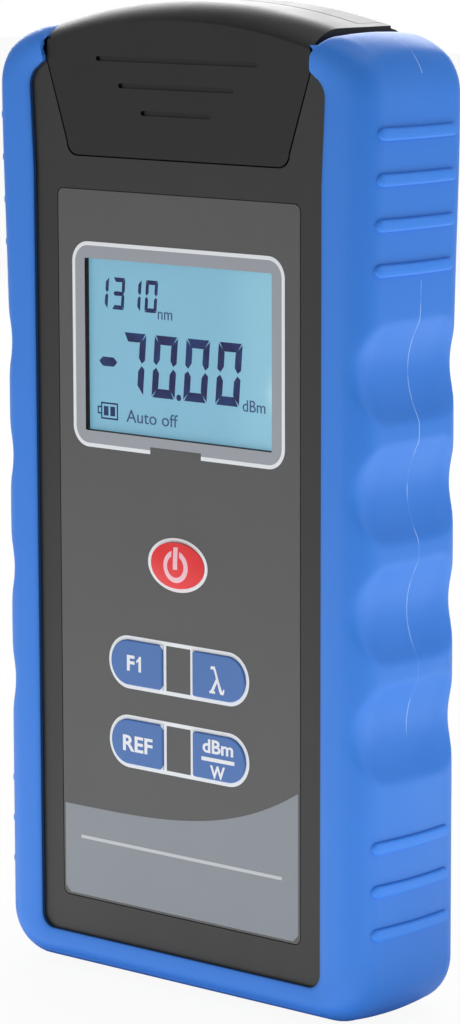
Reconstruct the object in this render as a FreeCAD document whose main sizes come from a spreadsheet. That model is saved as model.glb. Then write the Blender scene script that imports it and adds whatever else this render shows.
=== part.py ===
"""Handheld optical power meter: moulded case in a rubber boot, with a hinged dust cap over its port.

Millimetres. X is to the right, Y goes from the face to the back, Z is up.
The origin is the middle of the underside, on which the meter stands.
"""
import FreeCAD, Part
import os
import re

import Sketcher

SIZES = [
    ("case_width", 85.0, "moulded case inside the boot"),
    ("boot_depth", 30.5, "from the front lip to the back lip"),
    ("crown_top", 191.1, "highest point of the case and the cap"),
    ("crown_radius", 132.0, "arch of the top, seen from the front"),
    ("shoulder_width", 8.6, "case beside the arched top, under the boot's shoulders"),
    ("boot_drop", 5.1, "from the highest point down to the boot's shoulders"),
    ("boot_wall", 4.8, "rubber beside the case, between the scallops"),
    ("boot_floor", 2.2, "rubber under the case"),
    ("boot_roof", 2.0, "rubber over the case's shoulders"),
    ("boot_edge", 6.0, "rounding of the four upright edges"),
    ("boot_side_radius", 75.0, "crown of the side walls, seen from above"),
    ("boot_low_corner", 10.0, "outer corners at the bottom"),
    ("boot_high_corner", 11.5, "outer corners at the top"),
    ("boot_gap", 0.1, "between boot and case"),
    ("lip_height", 1.15, "how far the boot's lips stand out over the case"),
    ("lip_overlap", 6.1, "lip over the case's sides"),
    ("lip_low", 7.2, "height of the lip's lower edge"),
    ("lip_corner", 3.0, "inner corner of the lip"),
    ("hook_gap", 0.2, "between a hook and the arched top"),
    ("hook_drop", 6.0, "from the boot's shoulder down to the hook's tip"),
    ("throat_drop", 13.5, "from the boot's shoulder down to the hook's throat"),
    ("hook_throat", 7.0, "radius of the throat"),
    ("hook_flare", 1.2, "how far the lip gives way under the hook"),
    ("scallop_depth", 3.2, "finger scallops in the sides"),
    ("scallop_length", 19.4, "one scallop along the side"),
    ("scallop_pitch", 22.5, "from scallop to scallop"),
    ("scallop_offset", 2.65, "how far the scallops' middle lies under the boot's"),
    ("scallop_sweep", 50.0, "radius along the depth, which lets a scallop run out"),
    ("scallop_back", 2.0, "deepest point of a scallop, behind the middle"),
    ("rib_height", 0.5, "grip ribs on the sides"),
    ("rib_width", 2.2, "one rib"),
    ("rib_front_end", 5.25, "from the front lip to a rib"),
    ("rib_back_end", 4.55, "from a rib to the back lip"),
    ("rib_pitch", 8.3, "from rib to rib"),
    ("rib_drop", 17.8, "from the boot's shoulder down to the highest rib"),
    ("rib_rise", 18.8, "from the bottom up to the lowest rib"),
    ("case_low_corner", 8.0, "corners of the case at the bottom"),
    ("case_high_corner", 9.5, "corners of the case at its shoulders"),
    ("case_wall", 2.0, "wall of the moulded shells"),
    ("brow_depth", 8.0, "rounding of the top into the face, along the depth"),
    ("brow_drop", 3.5, "the same rounding, along the height"),
    ("nape_radius", 6.0, "rounding of the top into the back"),
    ("seam_back", 1.7, "seam between the shells, behind the middle of the depth"),
    ("cap_height", 29.6, "from the cap's lower edge to the highest point"),
    ("cap_upright", 11.1, "upright part of the cap's sides, down from the highest point"),
    ("cap_taper", 5.4, "how much narrower the cap is at the bottom, on each side"),
    ("cap_side_gap", 0.5, "between the cap and the edge of the arched top"),
    ("cap_thick", 1.8, "wall of the cap"),
    ("cap_gap", 0.3, "around the cap"),
    ("cap_corner", 2.6, "lower corners of the cap"),
    ("groove_pitch", 5.0, "from one grip groove of the cap to the next"),
    ("groove_half", 20.4, "half length of the longest groove"),
    ("groove_step", 5.75, "each groove is shorter by this at both ends"),
    ("groove_width", 0.9, "one groove"),
    ("groove_depth", 0.6, "one groove"),
    ("view_drop", 19.8, "from the cap down to the visible field of the display"),
    ("view_half", 23.85, "half width of the visible field"),
    ("view_height", 33.5, "height of the visible field"),
    ("window_border", 3.15, "clear window beyond the visible field"),
    ("window_corner", 4.0, "corners of the window"),
    ("window_thick", 1.1, "depth of the window's seat"),
    ("glass_margin", 2.2, "display glass beyond the visible field"),
    ("glass_thick", 2.0, "display glass"),
    ("glass_gap", 0.1, "between the display glass and the wall around it"),
    ("panel_margin", 3.7, "printed panel beside the window"),
    ("panel_over", 9.95, "printed panel above the window"),
    ("panel_low", 14.8, "height of the panel's lower edge"),
    ("panel_corner", 1.5, "corners of the panel's recess"),
    ("panel_thick", 0.5, "printed panel"),
    ("panel_gap", 0.2, "groove around the panel"),
    ("power_drop", 24.05, "from the visible field down to the power key"),
    ("power_width", 13.7, "oval power key"),
    ("power_height", 8.9, "oval power key"),
    ("power_proud", 0.9, "how far the middle of its dome stands out"),
    ("power_dome", 30.0, "radius of the dome"),
    ("upper_row_drop", 20.45, "from the power key down to the upper row"),
    ("row_pitch", 15.7, "from the upper row of keys to the lower one"),
    ("key_half", 17.3, "outer end of a row of keys"),
    ("key_round", 4.45, "half the height of a row of keys"),
    ("key_inner", 3.9, "from the middle to the straight end of a key"),
    ("key_proud", 0.45, "how far a key stands out of the panel"),
    ("key_gap", 0.15, "around a key"),
    ("key_flange", 0.9, "rim that keeps a key in the case"),
    ("key_flange_thick", 1.0, "thickness of that rim"),
    ("key_edge", 0.3, "rounding of a key's edge"),
    ("key_travel", 0.5, "how far a key goes in"),
    ("switch_body", 1.5, "height of a switch on the board"),
    ("switch_side", 6.0, "side of a switch"),
    ("switch_stem", 0.6, "height of a switch's button"),
    ("switch_stem_radius", 1.6, "radius of that button and of a key's stem"),
    ("board_back", 5.8, "back face of the main board, in front of the middle of the depth"),
    ("board_thick", 1.6, "main board"),
    ("board_margin", 5.0, "from the case's side to the board"),
    ("board_over", 4.3, "board above the visible field"),
    ("board_clear", 3.1, "between the board and the lower case screws"),
    ("chip_side", 7.0, "half the side of the processor"),
    ("chip_thick", 1.4, "height of a chip"),
    ("socket_height", 5.0, "socket of the flat cable"),
    ("socket_thick", 2.0, "socket of the flat cable"),
    ("cable_half", 4.0, "half width of the flat cable"),
    ("cable_thick", 0.2, "flat cable"),
    ("pivot_back", 8.8, "hinge of the cap, behind the middle of the depth"),
    ("pivot_drop", 9.1, "from the highest point down to the hinge"),
    ("pivot_radius", 1.0, "hinge pins"),
    ("pivot_play", 0.05, "between a pin and its arm"),
    ("knuckle_radius", 4.2, "round end of a hinge arm"),
    ("arm_thick", 1.9, "hinge arm"),
    ("arm_reach", 14.8, "from the hinge to the arm's root under the cap"),
    ("arm_root", 1.0, "how far the arm's root lies above the hinge"),
    ("arm_clear", 0.5, "between a knuckle and the bottom of its slot"),
    ("well_margin", 1.0, "cap beyond the well on each side"),
    ("pin_length", 7.4, "hinge pins"),
    ("seam_arch", 185.0, "arch of the path of the cap's back edge"),
    ("well_rise", 3.5, "from the cap's lower edge up to the well's floor"),
    ("well_base", 2.0, "thickness of the well's floor"),
    ("well_wall", 2.0, "walls of the well"),
    ("port_gap", 0.4, "between the adapter's flange and the wall behind it"),
    ("flange_radius", 5.4, "adapter's flange"),
    ("flange_thick", 2.0, "adapter's flange"),
    ("barrel_radius", 4.0, "adapter's threaded barrel"),
    ("barrel_height", 18.5, "adapter over the well's floor"),
    ("barrel_bore", 3.0, "room for the connector's nose"),
    ("barrel_depth", 10.0, "depth of that room"),
    ("collar_radius", 2.3, "holder of the ferrule sleeve"),
    ("sleeve_radius", 1.65, "ferrule sleeve"),
    ("sleeve_length", 11.0, "ferrule sleeve"),
    ("ferrule_radius", 1.25, "bore of the ferrule sleeve"),
    ("keyway_width", 2.1, "key slot in the barrel's rim"),
    ("keyway_depth", 3.0, "key slot in the barrel's rim"),
    ("can_radius", 3.3, "detector can"),
    ("can_height", 4.2, "detector can"),
    ("can_rim", 0.6, "base plate of the can"),
    ("can_lens_radius", 1.8, "window of the can"),
    ("light_bore", 2.4, "hole in the well's floor"),
    ("detector_board_half", 12.0, "half width of the detector's board"),
    ("detector_board_thick", 1.6, "detector's board"),
    ("cell_radius", 7.2, "battery cells"),
    ("cell_length", 49.2, "battery cells"),
    ("cell_nose_radius", 2.7, "contact nose of a cell"),
    ("cell_nose", 1.3, "contact nose of a cell"),
    ("cell_gap", 0.8, "between the cells"),
    ("bay_side_gap", 0.6, "between a cell and the side of the bay"),
    ("bay_low", 11.6, "height of the bay's lower end"),
    ("bay_wall", 1.5, "walls of the battery bay"),
    ("bay_clear", 0.3, "between the bay and the board"),
    ("contact_thick", 0.4, "contact plates"),
    ("spring_radius", 2.6, "contact springs"),
    ("spring_length", 3.0, "contact springs"),
    ("door_margin", 2.2, "battery door beyond the bay"),
    ("door_thick", 1.5, "battery door"),
    ("door_gap", 0.3, "around the battery door"),
    ("door_corner", 2.5, "corners of the battery door"),
    ("screw_inset", 11.0, "from the case's side to the case screws"),
    ("screw_low", 12.5, "height of the lower case screws"),
    ("screw_drop", 10.5, "from the cap's lower edge down to the upper case screws"),
    ("screw_radius", 1.3, "case screws"),
    ("screw_head_radius", 2.7, "case screws"),
    ("screw_head", 1.9, "case screws"),
    ("screw_length", 12.0, "case screws"),
    ("boss_radius", 3.4, "bosses for the case screws"),
    ("post_radius", 2.4, "posts that carry the board"),
    ("post_inset", 4.5, "from the board's side to its screws"),
    ("post_rise", 7.0, "from the board's lower edge to its lower screws"),
    ("post_drop", 10.2, "from the visible field down to the board's upper screws"),
    ("small_screw_radius", 0.9, "board and adapter screws"),
    ("small_head_radius", 1.7, "board and adapter screws"),
    ("small_head", 1.1, "board and adapter screws"),
    ("fit_gap", 0.05, "between pieces that are assembled into each other"),
]

# What follows from the sizes; each may use the ones before it.
DERIVED = [
    ("case_half", "case_width / 2"),
    ("boot_half", "case_half + boot_gap + boot_wall"),
    ("boot_top", "crown_top - boot_drop"),
    ("face_y", "lip_height - boot_depth / 2"),
    ("back_y", "boot_depth / 2 - lip_height"),
    ("face_inside", "face_y + case_wall"),
    ("back_inside", "back_y - case_wall"),
    ("case_low", "boot_floor + boot_gap"),
    ("case_shoulder", "boot_top - boot_roof - boot_gap"),
    ("arch_centre", "crown_top - crown_radius"),
    ("beyond_top", "crown_top + pin_length"),
    ("seam_y", "seam_back"),
    ("crown_half", "case_half - shoulder_width"),
    ("lip_half", "case_half - lip_overlap"),
    ("hook_half", "crown_half + hook_gap"),
    ("hook_tip", "boot_top - hook_drop"),
    ("hook_root", "boot_top - throat_drop"),
    ("scallop_low", "boot_top / 2 - scallop_offset - 1.5 * scallop_pitch"),
    ("rib_front", "rib_front_end - boot_depth / 2"),
    ("rib_back", "boot_depth / 2 - rib_back_end"),
    ("cap_low", "crown_top - cap_height"),
    ("cap_high", "crown_top - cap_upright"),
    ("cap_high_half", "crown_half - cap_side_gap"),
    ("cap_low_half", "cap_high_half - cap_taper"),
    ("view_high", "cap_low - view_drop"),
    ("view_low", "view_high - view_height"),
    ("window_half", "view_half + window_border"),
    ("window_low", "view_low - window_border"),
    ("window_high", "view_high + window_border"),
    ("panel_half", "window_half + panel_margin"),
    ("panel_high", "window_high + panel_over"),
    ("power_z", "view_low - power_drop"),
    ("upper_row_z", "power_z - upper_row_drop"),
    ("lower_row_z", "upper_row_z - row_pitch"),
    ("key_middle", "(key_half + key_inner) / 2"),
    ("board_front", "-board_back - board_thick"),
    ("board_rear", "-board_back"),
    ("board_half", "case_half - board_margin"),
    ("board_high", "view_high + board_over"),
    ("screw_x", "case_half - screw_inset"),
    ("screw_high", "cap_low - screw_drop"),
    ("board_low", "screw_low + boss_radius + board_clear"),
    ("post_x", "board_half - post_inset"),
    ("post_low", "board_low + post_rise"),
    ("post_high", "view_low - post_drop"),
    ("switch_top", "board_front - switch_body - switch_stem"),
    ("socket_rear", "board_rear + socket_thick"),
    ("pivot_y", "pivot_back"),
    ("pivot_z", "crown_top - pivot_drop"),
    ("arm_inner", "cap_high_half - arm_thick"),
    ("slot_floor", "pivot_z - knuckle_radius - arm_clear"),
    ("pin_middle", "arm_inner + arm_thick / 2"),
    ("well_half", "cap_low_half - well_margin"),
    ("tray_half", "well_half + well_wall"),
    ("well_floor", "cap_low + well_rise"),
    ("well_under", "well_floor - well_base"),
    ("well_back", "seam_y - well_wall"),
    ("port_y", "well_back - port_gap - flange_radius"),
    ("barrel_top", "well_floor + barrel_height"),
    ("flange_top", "well_floor + flange_thick"),
    ("ear_top", "flange_top - flange_thick / 4"),
    ("ear_x", "flange_radius + small_head_radius + fit_gap"),
    ("can_low", "well_under - can_height"),
    ("cell_pitch", "2 * cell_radius + cell_gap"),
    ("bay_half", "cell_pitch / 2 + cell_radius + bay_side_gap"),
    ("bay_front", "board_rear + bay_clear + bay_wall"),
    ("cell_y", "bay_front + cell_radius + fit_gap"),
    ("cell_low", "bay_low + contact_thick + spring_length"),
    ("cell_top", "cell_low + cell_length + cell_nose"),
    ("bay_high", "cell_top + fit_gap + contact_thick"),
    ("seam_reach", "sqrt((pivot_y - seam_y)^2 + (crown_top - pivot_z)^2)"),
    ("seam_end", "arm_inner - cap_gap / 2"),
    ("seam_end_reach", "seam_reach - seam_arch + sqrt((seam_arch)^2 - (seam_end)^2)"),
    ("brow_radius", "((brow_depth)^2 + (brow_drop)^2) / (2 * brow_drop)"),
    ("scallop_bowl", "((scallop_length / 2)^2 + (scallop_depth)^2) / (2 * scallop_depth)"),
]
WORD = re.compile(r"\b[a-z]+(?:_[a-z]+)+\b")
FORMULAS = {}
VALUES = {name: value for name, value, note in SIZES}


def bound(text):
    """A formula with each size read from the sheet."""
    def reading(word):
        name = word.group()
        return f"({FORMULAS[name]})" if name in FORMULAS else f"sizes.{name}"
    return WORD.sub(reading, str(text))


def number(text):
    """The value that a formula has now."""
    plain = WORD.sub(lambda word: f"({VALUES[word.group()]:.9f})", str(text))
    return FreeCAD.Units.Quantity(plain).Value


def neg(text):
    """The formula with its sign turned."""
    return f"-({text})"


for name, formula in DERIVED:
    VALUES[name] = number(formula)
    FORMULAS[name] = bound(formula)

doc = FreeCAD.newDocument("optical_power_meter")
sheet = doc.addObject("Spreadsheet::Sheet", "sizes")
for row, (name, value, note) in enumerate(SIZES, start=1):
    sheet.set(f"A{row}", name)
    sheet.set(f"B{row}", str(value))
    sheet.set(f"C{row}", note)
    sheet.setAlias(f"B{row}", name)
doc.recompute()

NODES = []


# ---------------------------------------------------------------- solids by primitives and booleans

def bind(thing, **formulas):
    """Ties properties of an object to formulas; two underscores stand for a dot."""
    for name, formula in formulas.items():
        thing.setExpression(name.replace("__", "."), bound(formula))
    return thing


def box(label, x, y, z):
    """A block between two planes on each axis."""
    block = doc.addObject("Part::Box", label)
    for axis, length, (low, high) in zip("xyz", ("Length", "Width", "Height"), (x, y, z)):
        block.setExpression(length, bound(f"({high}) - ({low})"))
        block.setExpression(f"Placement.Base.{axis}", bound(low))
    return block


TURNS = {
    "x": FreeCAD.Rotation(FreeCAD.Vector(0, 1, 0), 90),
    "y": FreeCAD.Rotation(FreeCAD.Vector(1, 0, 0), -90),
    "z": FreeCAD.Rotation(),
}


def rod(label, axis, radius, start, length):
    """A cylinder from a start point along an axis."""
    cylinder = doc.addObject("Part::Cylinder", label)
    cylinder.Placement.Rotation = TURNS[axis]
    x, y, z = start
    bind(cylinder, Radius=radius, Height=length)
    return bind(cylinder, Placement__Base__x=x, Placement__Base__y=y, Placement__Base__z=z)


def join(label, *solids):
    """One solid of several that meet, or a group of several that don't."""
    fusion = doc.addObject("Part::MultiFuse", label)
    fusion.Shapes = list(solids)
    return fusion


def cut(label, base, *tools):
    """The base without the tools."""
    difference = doc.addObject("Part::Cut", label)
    difference.Base = base
    difference.Tool = tools[0] if len(tools) == 1 else join(f"{label}_tools", *tools)
    return difference


def shared(label, *solids):
    """What all the solids have in common."""
    overlap = doc.addObject("Part::MultiCommon", label)
    overlap.Shapes = list(solids)
    return overlap


def node(thing):
    """Marks an object as a finished piece."""
    NODES.append(thing)
    return thing


# ---------------------------------------------------------------- sketched outlines

def line(x, z):
    """A corner of an outline; a straight edge leaves it."""
    return (x, z, None, 0)


def bend(x, z, radius, turn=1):
    """A corner of an outline; an arc leaves it, turning left for 1 and right for -1.

    A half circle always joins two corners that lie upright over each other.
    """
    return (x, z, radius, turn)


def rounded(x, z, radius):
    """A rectangle with four equal corner arcs, as an outline."""
    (x0, x1), (z0, z1) = x, z
    return [
        line(f"{x0} + {radius}", z0),
        bend(f"{x1} - {radius}", z0, radius),
        line(x1, f"{z0} + {radius}"),
        bend(x1, f"{z1} - {radius}", radius),
        line(f"{x1} - {radius}", z1),
        bend(f"{x0} + {radius}", z1, radius),
        line(x0, f"{z1} - {radius}"),
        bend(x0, f"{z0} + {radius}", radius),
    ]


def mirrored(half):
    """A closed outline from its right half, which runs upwards from the middle to the middle."""
    whole = list(half[:-1])
    for index in range(len(half) - 1, 0, -1):
        x, z = half[index][:2]
        radius, turn = half[index - 1][2:]
        whole.append((x if index == len(half) - 1 else neg(x), z, radius, turn))
    return whole


def arc_between(start, end, radius, turn):
    """The arc of a radius from one point to another, turning left or right."""
    chord = end - start
    middle = (start + end) * 0.5
    rise = max(radius * radius - chord.Length ** 2 / 4, 0.0) ** 0.5
    aside = FreeCAD.Vector(-chord.y, chord.x, 0).normalize()
    centre = middle + aside * rise * turn
    through = centre - aside * radius * turn
    return Part.Arc(start, through, end)


def sketch(body, name, role, lift, outline):
    """A sketch on one of the body's own planes, with every corner tied to its formula."""
    drawing = body.newObject("Sketcher::SketchObject", name)
    plane = next(item for item in body.Origin.OriginFeatures if item.Role == role)
    drawing.AttachmentSupport = [(plane, "")]
    drawing.MapMode = "FlatFace"
    drawing.setExpression("AttachmentOffset.Base.z", bound(lift))
    points = [FreeCAD.Vector(number(x), number(z), 0) for x, z, radius, turn in outline]
    ends = []
    for index, (x, z, radius, turn) in enumerate(outline):
        here, there = points[index], points[(index + 1) % len(points)]
        if radius is None:
            drawing.addGeometry(Part.LineSegment(here, there), False)
            ends.append((1, 2))
        else:
            drawing.addGeometry(arc_between(here, there, number(radius), turn), False)
            ends.append((1, 2) if turn > 0 else (2, 1))
    for index, (x, z, radius, turn) in enumerate(outline):
        following = (index + 1) % len(outline)
        drawing.addConstraint(Sketcher.Constraint(
            "Coincident", index, ends[index][1], following, ends[following][0]))
    for index, (x, z, radius, turn) in enumerate(outline):
        for kind, formula, value in (("DistanceX", x, points[index].x), ("DistanceY", z, points[index].y)):
            tie = drawing.addConstraint(Sketcher.Constraint(kind, -1, 1, index, ends[index][0], value))
            drawing.setExpression(f"Constraints[{tie}]", bound(formula))
        if radius is None:
            continue
        chord = points[index].distanceToPoint(points[(index + 1) % len(points)])
        if chord > 1.999 * number(radius):
            tie = drawing.addConstraint(Sketcher.Constraint("DistanceX", -1, 1, index, 3, points[index].x))
            drawing.setExpression(f"Constraints[{tie}]", bound(x))
        else:
            tie = drawing.addConstraint(Sketcher.Constraint("Radius", index, number(radius)))
            drawing.setExpression(f"Constraints[{tie}]", bound(radius))
    return drawing


ROLES = {"y": "XZ_Plane", "z": "XY_Plane", "x": "YZ_Plane"}


def pad(body, name, axis, outline, low, high):
    """An outline thickened between two planes; the XZ plane's own direction is -Y."""
    lift = neg(high) if axis == "y" else low
    feature = body.newObject("PartDesign::Pad", name)
    feature.Profile = sketch(body, f"{name}_outline", ROLES[axis], lift, outline)
    feature.setExpression("Length", bound(f"({high}) - ({low})"))
    return feature


def spun(body, name, axis, outline, centre=("0", "0")):
    """An outline in the plane of an axis, turned once around it; centre places the axis."""
    feature = body.newObject("PartDesign::Revolution", name)
    drawing = sketch(body, f"{name}_outline", "XZ_Plane" if axis == "x" else "YZ_Plane", "0", outline)
    first, second = centre
    drawing.setExpression("AttachmentOffset.Base.y", bound(second))
    if axis == "x":
        drawing.setExpression("AttachmentOffset.Base.z", bound(neg(first)))
    feature.Profile = drawing
    feature.ReferenceAxis = (drawing, ["H_Axis"])
    feature.Angle = 360
    return feature


def new_body(label):
    """An empty body."""
    return doc.addObject("PartDesign::Body", label)


def padded(label, axis, outline, low, high):
    """A body of one pad."""
    body = new_body(label)
    pad(body, f"{label}_pad", axis, outline, low, high)
    return body


# ---------------------------------------------------------------- forms that several pieces share

def case_half_outline(grow):
    """Right half of the case seen from the front, grown outwards by a clearance."""
    side = f"(case_half + {grow})"
    low = f"(case_low - {grow})"
    high = f"(case_shoulder + {grow})"
    return [
        line("0", low),
        bend(f"{side} - case_low_corner", low, "case_low_corner"),
        line(side, f"{low} + case_low_corner"),
        bend(side, f"{high} - case_high_corner", "case_high_corner"),
        line(f"{side} - case_high_corner", high),
        line("crown_half", high),
        line("crown_half", "beyond_top"),
        line("0", "beyond_top"),
    ]


def crown(label, front, back, sink, raised="0"):
    """Everything under the arched top: its profile turned around the arch's centre line."""
    top = f"(crown_radius + {raised} - {sink})"
    body = new_body(label)
    spun(body, f"{label}_turned", "y", [
        line(front, "0"),
        line(back, "0"),
        bend(back, f"{top} - nape_radius", "nape_radius"),
        line(f"{back} - nape_radius", top),
        bend(f"{front} + brow_depth", top, "brow_radius"),
        line(front, f"{top} - brow_drop"),
    ], ("0", "arch_centre"))
    return body


def hinge_sweep(label, grow):
    """The room inside the path of the cap's back edge, turned around the hinge."""
    end = f"(seam_end_reach + {grow})"
    body = new_body(label)
    spun(body, f"{label}_turned", "x", [
        line(neg("seam_end"), "0"),
        line("seam_end", "0"),
        bend("seam_end", end, "seam_arch"),
        line(neg("seam_end"), end),
    ], ("pivot_y", "pivot_z"))
    return body


def cap_path(label, front, back):
    """The room that the cap's back edge passes through as it swings open."""
    block = box(f"{label}_block", (neg("seam_end"), "seam_end"), (front, back), ("pivot_z", "beyond_top"))
    return cut(f"{label}_room", block, hinge_sweep(label, "-cap_gap / 2"))


def both_sides(make, label):
    """A left and a right copy of something that is placed by the sign of X."""
    return [make(f"{label}_left", "-"), make(f"{label}_right", "")]


def side_box(label, sign, x, y, z):
    """A block on one side, from its distances to the middle."""
    near, far = x
    across = (near, far) if sign == "" else (neg(far), neg(near))
    return box(label, across, y, z)


def four_corners(x, low, high):
    """Sign and height for a set of four, two on each side."""
    return [(sign + x, height) for sign in ("-", "") for height in (low, high)]


def arm_slots(label, front, back):
    """Slots in the case for the cap's two arms."""
    def slot(name, sign):
        return side_box(name, sign, ("arm_inner - cap_gap", "crown_half"), (front, back),
                        ("slot_floor", "beyond_top"))
    return both_sides(slot, label)


def cap_outline(grow):
    """Right half of the cap seen from the front."""
    return [
        line("0", f"cap_low - {grow}"),
        bend(f"cap_low_half - cap_corner + {grow}", f"cap_low - {grow}", "cap_corner"),
        line(f"cap_low_half + {grow}", f"cap_low - {grow} + cap_corner"),
        line(f"cap_high_half + {grow}", "cap_high"),
        line(f"cap_high_half + {grow}", "beyond_top"),
        line("0", "beyond_top"),
    ]


# ---------------------------------------------------------------- keys

def key_outline(sign, height, grow):
    """A key with one round end: the left or right third of a row."""
    inner = f"(key_inner - {grow})"
    round_end = f"(key_round + {grow})"
    start = "(key_half - key_round)"
    low = f"{height} - {round_end}"
    high = f"{height} + {round_end}"
    right = [
        line(inner, low),
        bend(start, low, round_end),
        line(start, high),
        line(inner, high),
    ]
    if sign == "":
        return right
    return [
        line(neg(inner), high),
        bend(neg(start), high, round_end),
        line(neg(start), low),
        line(neg(inner), low),
    ]


KEYS = {
    "power_key": ("", "0", "power_z"),
    "f1_key": ("-", "-key_middle", "upper_row_z"),
    "wavelength_key": ("", "key_middle", "upper_row_z"),
    "reference_key": ("-", "-key_middle", "lower_row_z"),
    "unit_key": ("", "key_middle", "lower_row_z"),
}


def key_prism(label, key, grow, low, high):
    """A key's outline, grown by a clearance, as a prism between two depths."""
    sign, x, z = KEYS[key]
    if key != "power_key":
        return padded(label, "y", key_outline(sign, z, grow), low, high)
    oval = doc.addObject("Part::Ellipse", f"{label}_oval")
    oval.Placement.Rotation = TURNS["y"]
    bind(oval, MajorRadius=f"power_width / 2 + {grow}", MinorRadius=f"power_height / 2 + {grow}")
    bind(oval, Placement__Base__y=low, Placement__Base__z=z)
    prism = doc.addObject("Part::Extrusion", label)
    prism.Base = oval
    prism.DirMode = "Custom"
    prism.Dir = FreeCAD.Vector(0, 1, 0)
    prism.Solid = True
    return bind(prism, LengthFwd=f"({high}) - ({low})")


def key_holes(label, grow, low, high):
    """Prisms through which the five keys pass."""
    return [key_prism(f"{label}_{key}", key, grow, low, high) for key in KEYS]


def make_key(label):
    """A key cap with a rim behind the wall and a stem that ends short of its switch."""
    x, z = KEYS[label][1:]
    rim_back = "face_inside + key_flange_thick"
    middle = f"({rim_back} - key_flange_thick / 2)"
    stem = rod(f"{label}_stem", "y", "switch_stem_radius", (x, middle, z),
               f"switch_top - key_travel - fit_gap - {middle}")
    rim = key_prism(f"{label}_rim", label, "key_flange", "face_inside", rim_back)
    if label == "power_key":
        prism = key_prism(f"{label}_prism", label, "0", "face_y - power_proud", middle)
        ball = doc.addObject("Part::Sphere", f"{label}_ball")
        bind(ball, Radius="power_dome", Placement__Base__z=z,
             Placement__Base__y="face_y - power_proud + power_dome")
        return node(shared(label, join(f"{label}_whole", prism, rim, stem), ball))
    cap = key_prism(f"{label}_cap", label, "0", "face_y - key_proud", middle)
    doc.recompute()
    front = number("face_y - key_proud")
    edges = [f"Edge{place}" for place, edge in enumerate(cap.Shape.Edges, start=1)
             if edge.BoundBox.YMax < front + VALUES["fit_gap"]]
    sharp = cap.Tip
    softened = cap.newObject("PartDesign::Fillet", f"{label}_softened")
    softened.Base = (sharp, edges)
    softened.setExpression("Radius", bound("key_edge"))
    return node(join(label, cap, rim, stem))


# ---------------------------------------------------------------- rubber boot

def boot_plan(grow):
    """The boot seen from above: flat lips, crowned sides and round upright edges."""
    half = f"(boot_half + {grow})"
    edge = "boot_edge"
    radius = f"(boot_side_radius + {grow})"
    middle = f"({half} - {radius})"
    front = "(boot_depth / 2)"
    across = f"sqrt(({radius} - {edge})^2 - ({front} - {edge})^2)"
    flat_x = f"({middle} + {across})"
    side_x = f"({middle} + {across} * {radius} / ({radius} - {edge}))"
    side_y = f"(({front} - {edge}) * {radius} / ({radius} - {edge}))"
    return mirrored([
        line("0", neg(front)),
        bend(flat_x, neg(front), edge),
        bend(side_x, neg(side_y), radius),
        bend(side_x, side_y, edge),
        line(flat_x, front),
        line("0", front),
    ])


def boot_window():
    """Right half of the opening between the lips, with the hook that overhangs it."""
    return mirrored([
        line("0", "lip_low"),
        bend("lip_half - lip_corner", "lip_low", "lip_corner"),
        line("lip_half", "lip_low + lip_corner"),
        line("lip_half", "hook_root - 2 * hook_throat"),
        bend("lip_half + hook_flare", "hook_root", "hook_throat"),
        line("hook_half + hook_flare / 2", "hook_tip - hook_flare / 2"),
        line("hook_half", "hook_tip + hook_flare / 2"),
        line("hook_half", "beyond_top"),
        line("0", "beyond_top"),
    ])


def scallops(sign, label):
    """Four finger hollows along one side, cut by rings that lie around the boot."""
    rings = []
    for index in range(4):
        ring = doc.addObject("Part::Torus", f"{label}_{index + 1}")
        bind(ring, Radius1="scallop_sweep - scallop_bowl", Radius2="scallop_bowl")
        bind(ring, Placement__Base__x=f"{sign}(boot_half - scallop_depth + scallop_sweep)")
        bind(ring, Placement__Base__y="scallop_back")
        bind(ring, Placement__Base__z=f"scallop_low + {index} * scallop_pitch")
        rings.append(ring)
    return rings


def rib_bars():
    """Grip ribs on both sides, as one body of round-ended bars across the whole boot."""
    end = "(rib_width / 2)"
    heights = [f"(boot_top - rib_drop - {index} * rib_pitch)" for index in range(4)]
    heights += [f"(rib_rise + {index} * rib_pitch)" for index in range(3)]
    solids = []
    for index, height in enumerate(heights, start=1):
        outline = [
            line(f"rib_front + {end}", f"{height} - {end}"),
            bend(f"rib_back - {end}", f"{height} - {end}", end),
            line(f"rib_back - {end}", f"{height} + {end}"),
            bend(f"rib_front + {end}", f"{height} + {end}", end),
        ]
        solids.append(padded(f"rib_{index}", "x", outline, "-2 * boot_half", "2 * boot_half"))
    return join("rib_rows", *solids)


def make_boot():
    """One rubber moulding: a band around the case with a lip in front and behind."""
    half = "boot_half"
    front = new_body("boot_front_view")
    pad(front, "boot_front_pad", "y", mirrored([
        line("0", "0"),
        bend(f"{half} - boot_low_corner", "0", "boot_low_corner"),
        line(half, "boot_low_corner"),
        bend(half, "boot_top - boot_high_corner", "boot_high_corner"),
        line(f"{half} - boot_high_corner", "boot_top"),
        line("0", "boot_top"),
    ]), "-boot_depth", "boot_depth")
    plan = padded("boot_plan_view", "z", boot_plan("0"), "0", "beyond_top")
    brow = crown("boot_crown", "(-boot_depth / 2)", "(boot_depth / 2)", "0", "lip_height / 2")
    block = shared("boot_block", front, plan, brow)
    reach = padded("rib_reach", "z", boot_plan("rib_height"), "0", "beyond_top")
    ribs = shared("boot_ribs", reach, rib_bars())
    ribbed = join("boot_ribbed", block, ribs)
    room = padded("boot_room", "y", mirrored(case_half_outline("boot_gap")),
                  "face_y - boot_gap", "back_y + boot_gap")
    window = padded("boot_opening", "y", boot_window(), "-boot_depth", "boot_depth")
    hollows = scallops("", "scallop_right") + scallops("-", "scallop_left")
    return node(cut("rubber_boot", ribbed, room, window, *hollows))


# ---------------------------------------------------------------- case

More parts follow.
